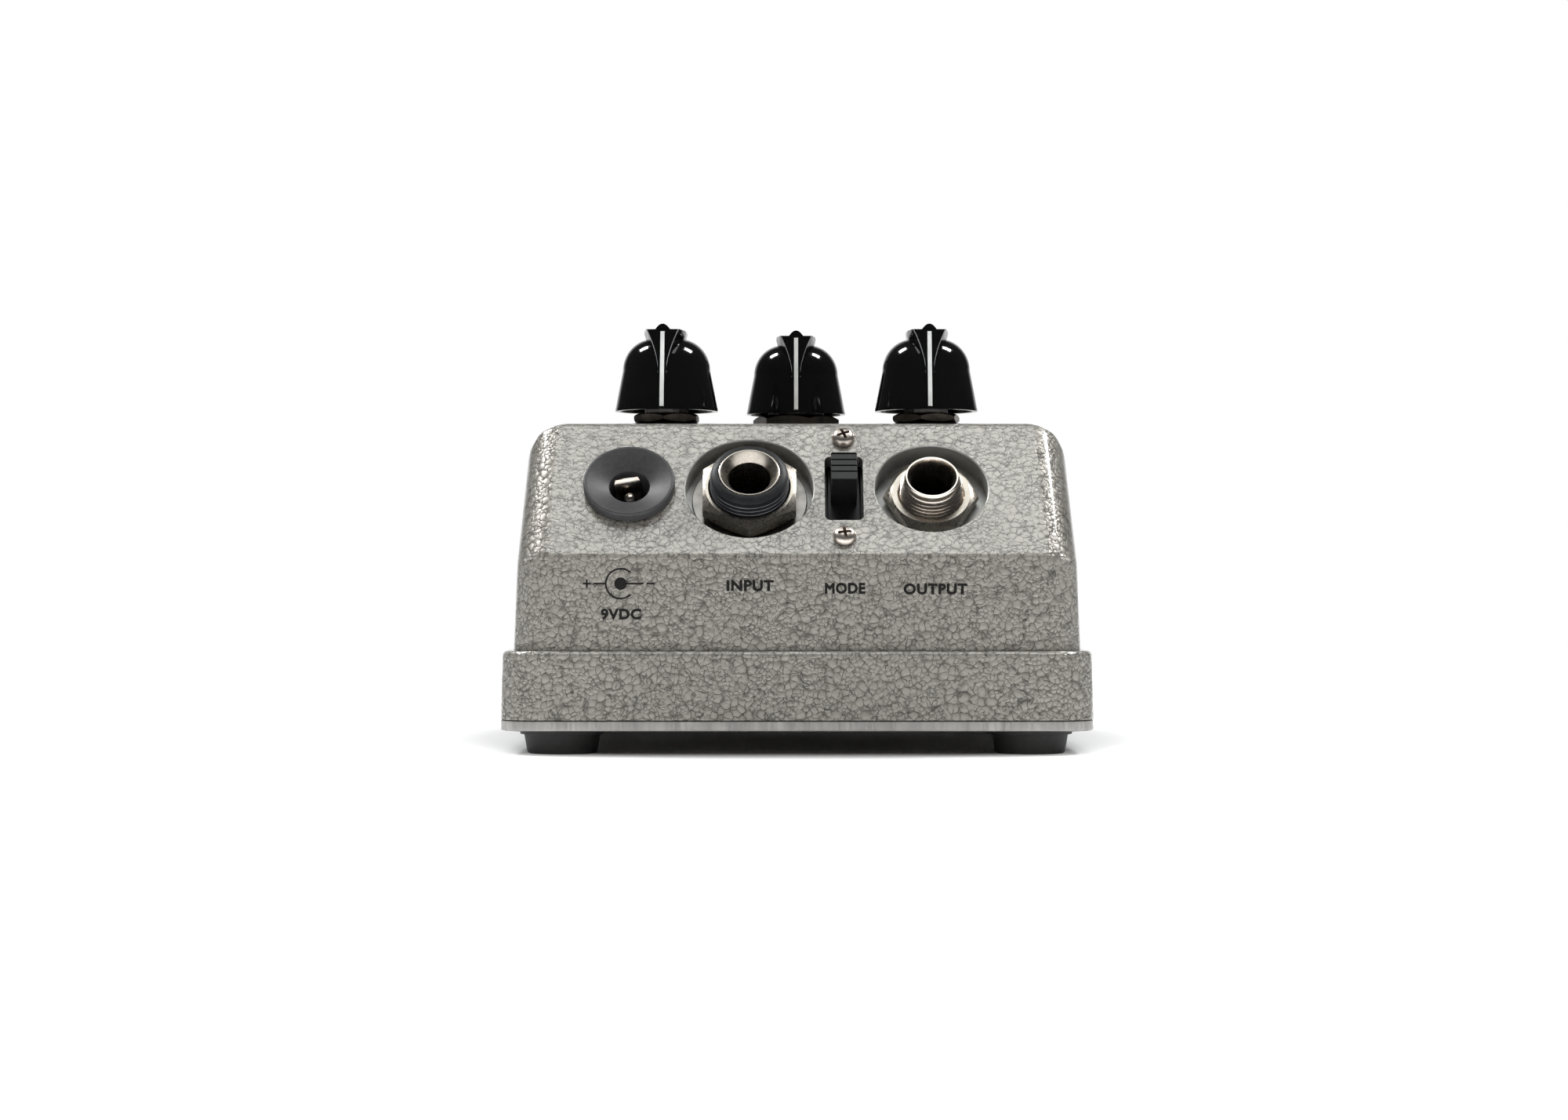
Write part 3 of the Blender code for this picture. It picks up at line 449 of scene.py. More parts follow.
def mixed(tree, factor, first, second):
    """A colour between two colours; each may be a triple or a socket."""
    node = tree.nodes.new("ShaderNodeMix")
    node.data_type = "RGBA"
    tree.links.new(factor, node.inputs["Factor"])
    for socket, value in (("A", first), ("B", second)):
        target = next(s for s in node.inputs if s.name == socket and s.type == "RGBA")
        if isinstance(value, tuple):
            target.default_value = (*value, 1.0)
        else:
            tree.links.new(value, target)
    return next(s for s in node.outputs if s.type == "RGBA")


def bump(tree, shader, height, distance, strength=1.0, socket="Normal"):
    node = tree.nodes.new("ShaderNodeBump")
    node.inputs["Strength"].default_value = strength
    node.inputs["Distance"].default_value = distance
    tree.links.new(height, node.inputs["Height"])
    tree.links.new(node.outputs["Normal"], shader.inputs[socket])


def grained(name, light, dark, roughness, metallic=0.0, scale=4000.0, relief=0.004 * MM,
            stretch=(1.0, 1.0, 1.0), turn=(0.0, 0.0, 0.0), rough_spread=0.08, **constants):
    """A plain finish whose colour, gloss and surface vary a little with fine grain."""
    made, tree, shader = start_finish(name, roughness, metallic, **constants)
    grain = placed_group(tree, grain_group, Vector=object_vector(tree, stretch, turn), Scale=scale)
    tree.links.new(mixed(tree, grain["Blotch"], light, dark), shader.inputs["Base Color"])
    tree.links.new(
        ramp(tree, grain["Grain"], 0.3, 0.7, roughness - rough_spread / 2, roughness + rough_spread / 2),
        shader.inputs["Roughness"],
    )
    bump(tree, shader, grain["Grain"], relief)
    return made


print("finish tools ready")

# %% Hammertone paint
def make_hammertone():
    made, tree, shader = start_finish("hammertone_paint", 0.42, 0.5, Coat_Weight=0.9, Coat_Roughness=0.07)
    pattern = placed_group(tree, hammer_group, Vector=object_vector(tree), Cells_per_metre=1000.0)
    # The colour lightens toward each dome's middle and darkens toward its edge: painted shade on the domes, on top
    # of the bump that shades them. The dark creases are the paint's own pattern.
    swell = ramp(tree, pattern["Dome"], 0.35, 0.95)
    domes = mixed(tree, swell, (0.225, 0.213, 0.193), (0.338, 0.323, 0.294))
    creased = mixed(tree, pattern["Crease"], domes, (0.085, 0.08, 0.072))
    tree.links.new(creased, shader.inputs["Base Color"])
    tree.links.new(ramp(tree, pattern["Cloud"], 0.3, 0.7, 0.38, 0.48), shader.inputs["Roughness"])
    height = math_node(tree, "SUBTRACT", pattern["Dome"], math_node(tree, "MULTIPLY", pattern["Crease"], 0.3))
    bump(tree, shader, height, 0.24 * MM, 0.55)
    waves = noise(tree, object_vector(tree), 700.0, 1.0)
    bump(tree, shader, waves.outputs["Fac"], 0.025 * MM, 0.5, "Coat Normal")
    return made


hammertone = make_hammertone()
print("made", hammertone.name)

# %% Metals, plastics, rubber and print
bright_nickel = grained(
    "bright_nickel", (0.66, 0.60, 0.54), (0.56, 0.51, 0.45), 0.22, 1.0, scale=2500.0, relief=0.002 * MM,
)
machined = grained(
    "machined_aluminium", (0.60, 0.60, 0.58), (0.46, 0.46, 0.45), 0.56, 1.0, scale=1600.0, relief=0.004 * MM,
)
plate_metal = grained(
    "linished_aluminium", (0.36, 0.35, 0.335), (0.28, 0.275, 0.265), 0.42, 1.0, scale=3600.0,
    relief=0.03 * MM, stretch=(1.0, 1.0, 0.12), turn=(0.0, math.radians(38), 0.0), rough_spread=0.2,
)
steel = grained("plated_steel", (0.27, 0.255, 0.24), (0.19, 0.18, 0.17), 0.36, 1.0, scale=3000.0)
# A darkened steel. The knobs' nuts are nickel, and this colour is painted shade for the dark room they reflect; in
# the plate screws' cross recesses it is painted shade as well.
steel_with_painted_shade = grained("steel_with_painted_shade", (0.22, 0.19, 0.16), (0.11, 0.10, 0.09), 0.34, 1.0, scale=3000.0)
worn_plastic = grained(
    "thread_plastic", (0.013, 0.0135, 0.015), (0.008, 0.0085, 0.01), 0.45, scale=5000.0, Specular_IOR_Level=0.3,
)
# A paler grey for the crests of the input jack's thread, lighter than its roots.
pale_crest_plastic = grained("pale_thread_crests", (0.15, 0.155, 0.165), (0.045, 0.048, 0.054), 0.5, scale=2500.0)
gloss_black = grained(
    "gloss_black", (0.0042, 0.0042, 0.0046), (0.0032, 0.0032, 0.0036), 0.09, scale=900.0,
    relief=0.0006 * MM, rough_spread=0.03,
)
satin_black = grained(
    "satin_black", (0.0075, 0.0075, 0.008), (0.0055, 0.0055, 0.006), 0.36, scale=9000.0, Specular_IOR_Level=0.3,
)
# A lighter grey for the rounded near edges of the knobs' grips: a painted highlight standing in for the reflection
# along those edges.
painted_edge_highlight = grained("painted_edge_highlight", (0.24, 0.245, 0.26), (0.12, 0.125, 0.135), 0.35, scale=2500.0)
nut_nickel = grained("nut_nickel", (0.46, 0.42, 0.37), (0.36, 0.33, 0.29), 0.3, 1.0, scale=2500.0)
screw_nickel = grained("screw_nickel", (0.62, 0.56, 0.51), (0.50, 0.45, 0.40), 0.36, 1.0, scale=2500.0)
# Painted shade for the cross recesses of the switch screws: a dark brown that stands in for the shade inside them.
painted_recess_shade = grained("painted_recess_shade", (0.15, 0.11, 0.09), (0.09, 0.066, 0.054), 0.5, 0.6, scale=3000.0)
dark_satin = grained("matte_plastic", (0.040, 0.040, 0.042), (0.030, 0.030, 0.032), 0.5, scale=12000.0)
rubber = grained(
    "black_rubber", (0.012, 0.012, 0.012), (0.008, 0.008, 0.008), 0.62, scale=6000.0, relief=0.01 * MM,
)
white_paint = grained(
    "white_line_paint", (0.80, 0.82, 0.82), (0.66, 0.69, 0.69), 0.4, scale=3500.0, relief=0.01 * MM,
)
black_print = grained(
    "black_print", (0.0035, 0.0032, 0.003), (0.007, 0.0065, 0.006), 0.55, scale=6000.0, Specular_IOR_Level=0.25,
)
print("made", len(bpy.data.materials), "finishes")

# %% [markdown]
# ## The case
# The case begins as a block with straight faces. It is tapered, two slanting planes cut its ends, and the
# edges are rounded: widely along the upright corners, hardly at all where the panel meets the face under
# it. The skirt is a second block with its own round corners, and the two are joined.

# %% Case measurements
WALL = 2.3 * MM
case_low, case_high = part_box("enclosure")
case_width, case_length = case_high.x - case_low.x, case_high.y - case_low.y
case_top, skirt_bottom = case_high.z, case_low.z
SKIRT_TOP = 15.7 * MM
SKIRT_DRAFT = 0.4 * MM
LEDGE = 1.6 * MM
BEND_HEIGHT = 30.1 * MM
LOWER_LEAN = 0.7 * MM
SIDE_DRAFT = math.radians(2.15)
input_x = middle_of("input_jack_nut").x
output_x = middle_of("output_jack_nut").x
power_x = middle_of("power_jack_body").x
switch_x = middle_of("slide_switch_slider").x
RECESS_DEPTH = 3.6 * MM
INPUT_RECESS, OUTPUT_RECESS = 9.85 * MM, 8.7 * MM
screw_places = {name[5:]: middle_of(name) for name in nodes if name.startswith("foot_") and "screw" not in name}
print("feet at", {k: tuple(round(v / MM, 1) for v in p) for k, p in screw_places.items()})

# %% The upper case as one block
def upper_case(inset, foot, corner, segments):
    """A block with leaning sides and sloping ends, drawn in by inset, its edges rounded."""
    half_length = case_length / 2 - LEDGE - inset
    half_width = case_width / 2 - SKIRT_DRAFT - LEDGE - inset
    top = case_top - inset
    shape = slab(2.0, 2 * half_length, foot, top)
    for vert in shape.verts:
        lean = (vert.co.z - SKIRT_TOP) * math.tan(SIDE_DRAFT)
        vert.co.x = math.copysign(half_width - lean, vert.co.x)
        if vert.co.z > foot + MM:
            share = (vert.co.z - foot) / (BEND_HEIGHT - foot)
            vert.co.y = math.copysign(half_length - LOWER_LEAN * share, vert.co.y)
    for side in (-1, 1):
        out = Vector((0, -side * panel_out.y, panel_out.z))
        place = Vector((0, -side * panel_middle.y, panel_middle.z)) - out * inset
        split(shape, place, out, clear_outer=True)
        bmesh.ops.holes_fill(shape, edges=[e for e in shape.edges if e.is_boundary], sides=8)
    tidy(shape)
    weigh = shape.edges.layers.float.new("bevel_weight_edge")
    for edge in shape.edges:
        a, b = (v.co for v in edge.verts)
        if max(a.z, b.z) < foot + MM:
            continue
        share = 1.0
        if abs(a.x - b.x) > half_width:
            share = 0.14 if a.z > BEND_HEIGHT + 3 * MM else 0.07
        elif abs(a.z - b.z) > 3 * MM and min(a.z, b.z) > foot + MM:
            share = 0.92
        edge[weigh] = share
    block = loose_object(shape)
    bevel = block.modifiers.new("Rounded edges", "BEVEL")
    bevel.limit_method = "WEIGHT"
    bevel.width = corner
    bevel.segments = segments
    return evaluated(block)


def skirt_block():
    """The wide band at the foot, a little narrower at its top, with the top edge rounded."""
    shape = slab(case_width, case_length, skirt_bottom - 0.16 * MM, SKIRT_TOP)
    for vert in shape.verts:
        if vert.co.z > SKIRT_TOP - MM:
            vert.co.x -= math.copysign(SKIRT_DRAFT, vert.co.x)
            vert.co.y -= math.copysign(SKIRT_DRAFT, vert.co.y)
    soften(shape, upright_edges(shape), 6.5 * MM, 10)
    rim = [e for e in shape.edges if all(v.co.z > SKIRT_TOP - 0.01 * MM for v in e.verts)]
    return soften(shape, rim, 0.85 * MM, 4)


shell = combined(skirt_block(), upper_case(0.0, skirt_bottom + 2 * MM, 6.0 * MM, 10), "UNION")
shell = cut(shell, upper_case(WALL, skirt_bottom - 3 * MM, 3.7 * MM, 4))
print("case shell:", len(shell.faces), "faces")

# %% [markdown]
# ## Bosses, recesses and holes
# Four bosses hold the screws of the base plate. Each jack sits in a round recess milled square into the
# panel after painting, so its wall and floor are bare metal with a bright edge. The second material slot
# marks those faces.

# %% Seats, bosses and drilled holes
def rod(radius, bottom, top, steps=64):
    return turned([(0.0, bottom), (radius, bottom), (radius, top), (0.0, top)], steps)


def bare_metal_or_painted_shade(shape):
    """Puts every face of a cutter in the second material slot. In the case that slot is bare metal; in a screw's
    cross recess it holds painted shade.
    """
    for face in shape.faces:
        face.material_index = 1
    return shape


def joined(shape, *tools):
    for tool in tools:
        shape = combined(shape, tool, "UNION")
    return shape


recesses = ((input_x, INPUT_RECESS), (output_x, OUTPUT_RECESS))
for x, radius in recesses:
    seat = rod(radius + MM, -RECESS_DEPTH - 2.0 * MM, -WALL / 2)
    shell = joined(shell, moved(seat, on_panel(x)))
for place in screw_places.values():
    shell = joined(shell, moved(rod(5.4 * MM, skirt_bottom, 24.0 * MM, 40), shift(place.x, place.y)))
for x, radius in recesses:
    rim = 0.16 * MM
    milled = turned([
        (0.0, -RECESS_DEPTH), (radius, -RECESS_DEPTH), (radius, -rim), (radius + 2 * rim, rim),
        (radius + 2 * rim, MM), (0.0, MM),
    ], 128)
    shell = cut(shell, moved(bare_metal_or_painted_shade(milled), on_panel(x)))
drills = [
    (input_x, 0.0, 6.3 * MM), (output_x, 0.0, 5.01 * MM), (power_x, 0.0, 5.85 * MM),
    (switch_x, 10.0 * MM, 1.2 * MM), (switch_x, -10.0 * MM, 1.2 * MM),
]
for x, up, radius in drills:
    shell = cut(shell, moved(bare_metal_or_painted_shade(rod(radius, -9 * MM, 9 * MM)), on_panel(x, up)))
shell = cut(shell, moved(bare_metal_or_painted_shade(slab(5.9 * MM, 12.9 * MM, -9 * MM, 9 * MM, 0.9 * MM)), on_panel(switch_x)))
for node, radius in (
    ("knob_left", 3.75), ("knob_middle", 5.01), ("knob_right", 3.75), ("lamp_lens", 3.35),
    ("stomp_switch_nut", 6.25),
):
    place = middle_of(node)
    hole = bare_metal_or_painted_shade(rod(radius * MM, case_top - 5 * MM, case_top + 2 * MM))
    shell = cut(shell, moved(hole, shift(place.x, place.y)))
for place in screw_places.values():
    hole = bare_metal_or_painted_shade(rod(1.7 * MM, skirt_bottom - 2 * MM, 17 * MM, 24))
    shell = cut(shell, moved(hole, shift(place.x, place.y)))
tidy(shell)
piece("case_casting", shell, [hammertone, machined], ("enclosure",), sharp=24.0)

# %% Base plate with round corners and screw holes
def plate():
    low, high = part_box("base_plate")
    shape = slab(high.x - low.x, high.y - low.y, low.z, high.z, 6.1 * MM, 10)
    soften(shape, edges_at(shape, low.z), 0.35 * MM, 2)
    soften(shape, edges_at(shape, high.z), 0.12 * MM, 1)
    for place in screw_places.values():
        shape = cut(shape, moved(rod(1.7 * MM, low.z - MM, high.z + MM, 32), shift(place.x, place.y)))
    return tidy(shape)


piece("plate_with_ground_edge", plate(), [plate_metal], ("base_plate",))

# %% [markdown]
# ## Feet and their screws
# Each foot is a tapered rubber button with a thin flange, moulded hollow below so that its screw's head is
# sunk.

# %% Rubber feet and cross-recess screws
def cross_recess(size, depth, top):
    """A cutter for a cross recess: two crossed blades that narrow as they go down."""
    blades = []
    for turn in (0, 90):
        blade = slab(size, size * 0.21, top - depth, top + 0.3 * MM)
        for vert in blade.verts:
            if vert.co.z < top:
                vert.co.x *= 0.45
                vert.co.y *= 0.6
        blades.append(moved(blade, about_z(turn)))
    # The recess faces go in the second slot, which holds painted shade in the screws.
    return bare_metal_or_painted_shade(combined(*blades, "UNION"))


def foot():
    low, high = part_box("foot_rear_left")
    top = high.z + 0.2 * MM
    outer = [
        (4.95, 0.0), (5.18, 0.06), (5.33, 0.22), (5.39, 0.45), (5.82, top / MM - 0.74), (5.88, top / MM - 0.66),
        (6.3, top / MM - 0.62), (6.42, top / MM - 0.57), (6.45, top / MM - 0.46), (6.45, top / MM),
    ]
    inner = [(1.7, top / MM), (1.7, 2.0), (3.1, 2.0), (3.2, 1.9), (3.3, 0.15), (3.42, 0.0)]
    return lathed(outer + inner, 64)


def foot_screw():
    shape = lathed((
        (0.0, 0.7), (1.5, 0.74), (2.2, 0.9), (2.6, 1.18), (2.7, 1.4), (2.7, 1.75), (1.45, 1.75), (1.45, 15.0),
        (0.5, 16.0), (0.0, 16.0),
    ), 40)
    head_down = Matrix.Rotation(math.pi, 4, "X")
    return cut(shape, moved(cross_recess(3.0 * MM, 0.75 * MM, -0.7 * MM), head_down))


for index, (word, place) in enumerate(sorted(screw_places.items())):
    here = shift(place.x, place.y)
    spun = here @ Matrix.Rotation(0.5 + 1.3 * index, 4, "Z")
    piece(f"rubber_foot_{word}", foot(), [rubber], (f"foot_{word}",), at=here)
    piece(f"plate_screw_{word}", foot_screw(), [steel, steel_with_painted_shade], (f"foot_screw_{word}",), at=spun)

# %% [markdown]
# ## Nuts, washers and threads
# A hexagon nut is a six-sided bar whose corners are turned back by a cone, which leaves a curved edge on
# every flat. A thread is drawn as separate rings, since its slope can't be seen at this size.

# %% Shapes for nuts, washers and threads
def rings(radius, bottom, top, pitch, depth):
    """Points of a row of thread rings from bottom to top, with narrow crests and wider roots."""
    points = []
    for i in range(int((top - bottom) / pitch)):
        foot_z = bottom + i * pitch
        points += [(radius - depth, foot_z), (radius, foot_z + 0.34 * pitch), (radius, foot_z + 0.56 * pitch)]
        points.append((radius - depth, foot_z + 0.86 * pitch))
    return points


def pale_crests(shape, radius, bottom, top):
    """Puts the outermost faces of a thread about Z in the second material slot."""
    for face in shape.faces:
        middle = face.calc_center_median()
        if bottom < middle.z < top and middle.xy.length > radius - 0.03 * MM:
            face.material_index = 1
    return shape


def nut(across, bore, bottom, top, turn=0.0, lead=0.25 * MM):
    """A nut with its corners cut back at both ends. turn is the angle of one corner in degrees."""
    face = 0.475  # radius of the round end face, as a share of the width across flats
    reach = 0.62 * across
    fall = (reach - face * across) * math.tan(math.radians(27))
    ends = turned([
        (bore, bottom), (face * across, bottom), (reach, bottom + fall), (reach, top - fall),
        (face * across, top), (bore + lead, top), (bore, top - lead),
    ], 128)
    bar = bmesh.new()
    radius = across / math.sqrt(3)
    bmesh.ops.create_cone(bar, cap_ends=True, segments=6, radius1=radius, radius2=radius, depth=top - bottom)
    moved(bar, shift(z=(top + bottom) / 2) @ about_z(turn + 30))
    return combined(ends, bar, "INTERSECT")


def washer(bore, radius, bottom, top):
    edge = 0.1 * MM
    return turned([
        (bore, bottom), (radius, bottom), (radius, top - edge), (radius - edge, top), (bore + edge, top),
        (bore, top - edge),
    ])


print("nut, washer and thread shapes ready")

# %% [markdown]
# ## Input jack
# The bushing and the box behind the panel are one moulding in black plastic. A bright ring lines its mouth,
# and a large nut holds it down in its recess.

# %% Input jack
PLUG_BORE = 3.25 * MM


def input_body():
    back = -24.85 * MM
    box = slab(16.0 * MM, 17.0 * MM, back, -5.85 * MM, 1.5 * MM)
    outer = rings(6.05 * MM, -7.0 * MM, 2.66 * MM, 0.8 * MM, 0.42 * MM)
    outer += [(5.62 * MM, 2.72 * MM), (5.9 * MM, 2.84 * MM), (5.88 * MM, 3.02 * MM), (5.6 * MM, 3.26 * MM)]
    outer += [(4.95 * MM, 3.58 * MM)]
    bushing = turned([(0.0, -7.85 * MM), (5.7 * MM, -7.85 * MM)] + outer + [(0.0, 3.6 * MM)], 128)
    shape = combined(box, bushing, "UNION")
    shape = cut(shape, rod(4.75 * MM, -4.25 * MM, 5 * MM, 96), rod(PLUG_BORE, back - MM, 5 * MM))
    slot = moved(slab(2.4 * MM, 7.0 * MM, back - MM, back + 11 * MM), shift(y=3.5 * MM))
    return pale_crests(cut(shape, slot), 6.05 * MM, -MM, 3 * MM)


def input_liner():
    return lathed((
        (3.25, -4.0), (4.7, -4.0), (4.7, 3.5), (4.66, 3.64), (4.56, 3.7), (4.42, 3.68), (4.3, 3.58),
        (3.42, 2.42), (3.27, 2.2), (3.25, 1.9),
    ), 128)


at_input = on_panel(input_x)
piece(
    "input_jack_moulding", input_body(), [worn_plastic, pale_crest_plastic], ("input_jack_body",),
    at=at_input,
)
piece("input_jack_mouth", input_liner(), [nut_nickel], ("input_jack_liner",), at=at_input)
piece(
    "input_jack_flat_washer", washer(6.3 * MM, 8.85 * MM, -3.35 * MM, -2.85 * MM), [steel],
    ("input_jack_washer",), at=at_input,
)
piece(
    "input_jack_hexagon", nut(14.3 * MM, 6.1 * MM, -2.6 * MM, 0.4 * MM, 90), [nut_nickel],
    ("input_jack_nut",), at=at_input, sharp=20.0,
)

# %% [markdown]
# ## Output jack
# The other jack is an open frame: a turned and threaded metal bushing on a square plate, with a smaller
# nut.

# %% Output jack
def output_bushing():
    back = -7.05 * MM
    plate_shape = slab(16.0 * MM, 15.0 * MM, back, -5.85 * MM, MM)
    outer = rings(4.76 * MM, -5.9 * MM, 0.95 * MM, 0.75 * MM, 0.34 * MM)
    outer += [(r * MM, z * MM) for r, z in (
        (4.6, 0.95), (4.6, 1.2), (4.3, 1.36), (4.2, 1.5), (4.2, 2.3), (4.13, 2.55), (3.98, 2.7), (3.86, 2.7),
    )]
    thread = turned([(0.0, -6.6 * MM), (4.5 * MM, -6.6 * MM)] + outer + [(0.0, 2.7 * MM)], 128)
    mouth = lathed((
        (0.0, -9.0), (3.25, -9.0), (3.25, 1.72), (3.8, 2.72), (3.8, 4.0), (0.0, 4.0),
    ), 128)
    return cut(combined(plate_shape, thread, "UNION"), mouth)


at_output = on_panel(output_x)
piece("output_jack_barrel", output_bushing(), [bright_nickel], ("output_jack_bushing",), at=at_output)
piece(
    "output_jack_hexagon", nut(12.7 * MM, 4.8 * MM, -3.35 * MM, -1.15 * MM, 0, lead=0.4 * MM), [nut_nickel],
    ("output_jack_nut",), at=at_output, sharp=20.0,
)

# %% [markdown]
# ## Power inlet
# A round plug fits over the pin, and a sprung strip at the side of the hole touches its sleeve.

# %% Power inlet
def inlet_body():
    return lathed((
        (0.0, -13.0), (5.6, -13.0), (5.6, 0.25), (6.85, 0.25), (7.0, 0.4), (7.0, 1.55), (6.93, 1.77),
        (6.78, 1.88), (6.6, 1.9), (6.42, 1.84), (5.2, 1.3), (3.3, 0.42), (3.14, 0.3),
        (3.1, 0.1), (3.1, -10.0), (0.0, -10.0),
    ), 128)


def inlet_pin():
    return lathed((
        (0.0, -9.75), (1.05, -9.75), (1.05, -2.7), (0.98, -2.3), (0.78, -1.98), (0.45, -1.78), (0.0, -1.7),
    ), 48)


def sprung_strip():
    """A flat strip up the side of the hole, bent in towards the pin, with its end turned out."""
    shape = slab(4.0 * MM, 0.22 * MM, -9.5 * MM, -0.5 * MM)
    bends = [(-6.0, 2.3), (-4.2, 1.95), (-2.6, 1.8), (-1.5, 1.9), (-0.9, 2.15)]
    for level, out in bends:
        split(shape, (0, 0, level * MM), (0, 0, 1))
    route = [(-9.5, 2.3)] + bends + [(-0.5, 2.55)]
    for vert in shape.verts:
        level, out = min(route, key=lambda bend: abs(bend[0] * MM - vert.co.z))
        narrowing = 0.86 if out > 2.4 else 1.0
        vert.co = (vert.co.x * narrowing, vert.co.y + out * MM, vert.co.z)
    return moved(shape, about_z(13))


at_power = on_panel(power_x)
piece(
    "power_inlet_moulding", inlet_body(), [dark_satin], ("power_jack_body",), at=at_power,
    sharp=38.0,
)
piece("power_inlet_pin", inlet_pin(), [bright_nickel], ("power_jack_pin",), at=at_power, sharp=50.0)
piece("power_inlet_strip", sprung_strip(), [bright_nickel], ("power_jack_contact",), at=at_power)

# %% [markdown]
# ## Slide switch
# The slider's end has cross ridges for a fingertip. Its lower part slides out of sight under the panel.

# %% Slider and its screws
def slider():
    stem_top = 3.0 * MM
    base = slab(4.8 * MM, 11.6 * MM, -4.75 * MM, -3.15 * MM, 0.2 * MM, 2)
    stem = slab(4.0 * MM, 5.5 * MM, -4.4 * MM, stem_top, 0.22 * MM, 3)
    soften(stem, edges_at(stem, stem_top), 0.12 * MM, 2)
    shape = combined(base, stem, "UNION")
    for i in range(4):
        groove = slab(5.0 * MM, 0.55 * MM, stem_top - 0.42 * MM, stem_top + 0.4 * MM)
        for vert in groove.verts:
            if vert.co.z < stem_top:
                vert.co.y = 0.22 * MM
        bmesh.ops.remove_doubles(groove, verts=groove.verts, dist=0.001 * MM)
        shape = cut(shape, moved(groove, shift(y=(-1.3 + 1.2 * i) * MM)))
    return shape


def pan_screw(turn):
    shape = lathed((
        (0.0, 1.55), (0.6, 1.52), (1.1, 1.4), (1.48, 1.16), (1.68, 0.85), (1.75, 0.6), (1.75, 0.36),
        (1.66, 0.25), (0.95, 0.25), (0.95, -6.5), (0.0, -6.5),
    ), 64)
    shape = cut(shape, cross_recess(2.45 * MM, 1.0 * MM, 1.5 * MM))
    return moved(shape, about_z(turn))


at_slider = on_panel(switch_x, 2.0 * MM)
piece(
    "ridged_slider", slider(), [satin_black], ("slide_switch_slider",), body="mode_slider",
    at=at_slider,
)
for word, up, turn in (("upper", 10.0, 24), ("lower", -10.0, 8)):
    piece(
        f"switch_screw_{word}", pan_screw(turn), [screw_nickel, painted_recess_shade],
        (f"slide_switch_screw_{word}",), at=on_panel(switch_x, up * MM),
    )

# %% [markdown]
# ## Pointer knobs
# Each knob is a bell that flares to its rim, with a wedge-shaped grip across its top. The grip's near face
# narrows as it runs down the bell and carries a white line. It is shaped from a tall block: level cuts are
# made through it, and then each level is given its own widths and depths.

# %% Shapes of a knob
def between(table, height):
    """Reads a smooth value at a height from a table of (height, values...) rows."""
    for low, high in zip(table, table[1:]):
        if height <= high[0]:
            share = max(0.0, (height - low[0]) / (high[0] - low[0]))
            return [a + (b - a) * share for a, b in zip(low[1:], high[1:])]
    return list(table[-1][1:])


def levelled(bottom, top, count):
    """A unit-wide block with level cuts through it, ready to be shaped level by level."""
    shape = slab(1.0, 1.0, bottom, top)
    for i in range(1, count):
        split(shape, (0, 0, bottom + (top - bottom) * i / count), (0, 0, 1))
    return shape


BELL = [(8.25, 0.0), (8.25, 0.35), (8.16, 0.7), (7.75, 3.0), (7.05, 6.65)] + [
    (2.2 + 4.85 * math.cos(math.radians(a)), 6.65 + 5.3 * math.sin(math.radians(a))) for a in range(6, 91, 6)
]
# height, near reach of the grip and its pointer
REACH = [
    (0.0, -8.22), (3.0, -7.95), (5.9, -7.55), (7.5, -7.32), (9.0, -7.12), (11.4, -6.82), (12.4, -6.70),
    (13.1, -6.62),
]
KNOB_HEIGHT_SHARE = 0.975  # the finished knob is this much of the height drawn below
RIB = [
    (12.6, 1.35), (13.05, 1.2), (13.25, 1.08), (13.45, 0.92), (13.65, 0.74), (13.8, 0.58), (13.92, 0.4),
    (14.0, 0.2),
]


def near_half_width(height):
    share = max(0.0, (height - 5.9) / 7.2)
    return 0.7 + 1.93 * share ** 1.8


def ridge():
    """The narrow raised line that carries the pointer down to the rim."""
    shape = levelled(0.3 * MM, 8.0 * MM, 10)
    for vert in shape.verts:
        reach, = between(REACH, vert.co.z / MM)
        vert.co.x = math.copysign(0.7 * MM, vert.co.x)
        vert.co.y = (reach if vert.co.y < 0 else reach + 0.9) * MM
    return tidy(shape)


def wedge():
    """The part that fingers hold. It flares back from the pointer face, then narrows to the far end."""
    shape = levelled(6.0 * MM, 13.1 * MM, 18)
    for along in (-0.2, 0.1):
        split(shape, (0, along, 0), (0, 1, 0))
    for vert in shape.verts:
        height = vert.co.z / MM
        reach, = between(REACH, height)
        fall = max(0.0, (height - 12.3) / 0.8)
        flare = 0.85 + 0.8 * (13.1 - height) / 7.1 - 0.25 * fall ** 2
        place = round(vert.co.y, 1)
        more, along = {
            -0.5: (0.0, reach), -0.2: (flare, reach + 3.6), 0.1: (flare, 1.0), 0.5: (flare - 0.7, 5.2),
        }[place]
        vert.co.x = math.copysign((near_half_width(height) + more) * MM, vert.co.x)
        vert.co.y = (along - 0.7 * fall ** 2 * (place > 0.3)) * MM
    near_sides = [
        e for e in shape.edges
        if all(v.co.y < -6.0 * MM for v in e.verts) and abs(e.verts[0].co.z - e.verts[1].co.z) > 0.1 * MM
    ]
    tidy(soften(shape, near_sides, 0.13 * MM, 2))
    # The narrow rounded faces along the near edges go in the second slot, which holds a painted highlight.
    for face in shape.faces:
        ys = [vert.co.y for vert in face.verts]
        if 0.15 < abs(face.normal.x) < 0.9 and max(ys) < -6.0 * MM and max(ys) - min(ys) < 0.25 * MM:
            face.material_index = 1
    return shape


def rib():
    shape = levelled(12.6 * MM, 14.0 * MM, 12)
    for vert in shape.verts:
        half, = between(RIB, vert.co.z / MM)
        vert.co.x = math.copysign(half * MM, vert.co.x)
        vert.co.y = -6.5 * MM if vert.co.y < 0 else (5.2 - max(0.0, vert.co.z / MM - 13.4)) * MM
    return tidy(shape)


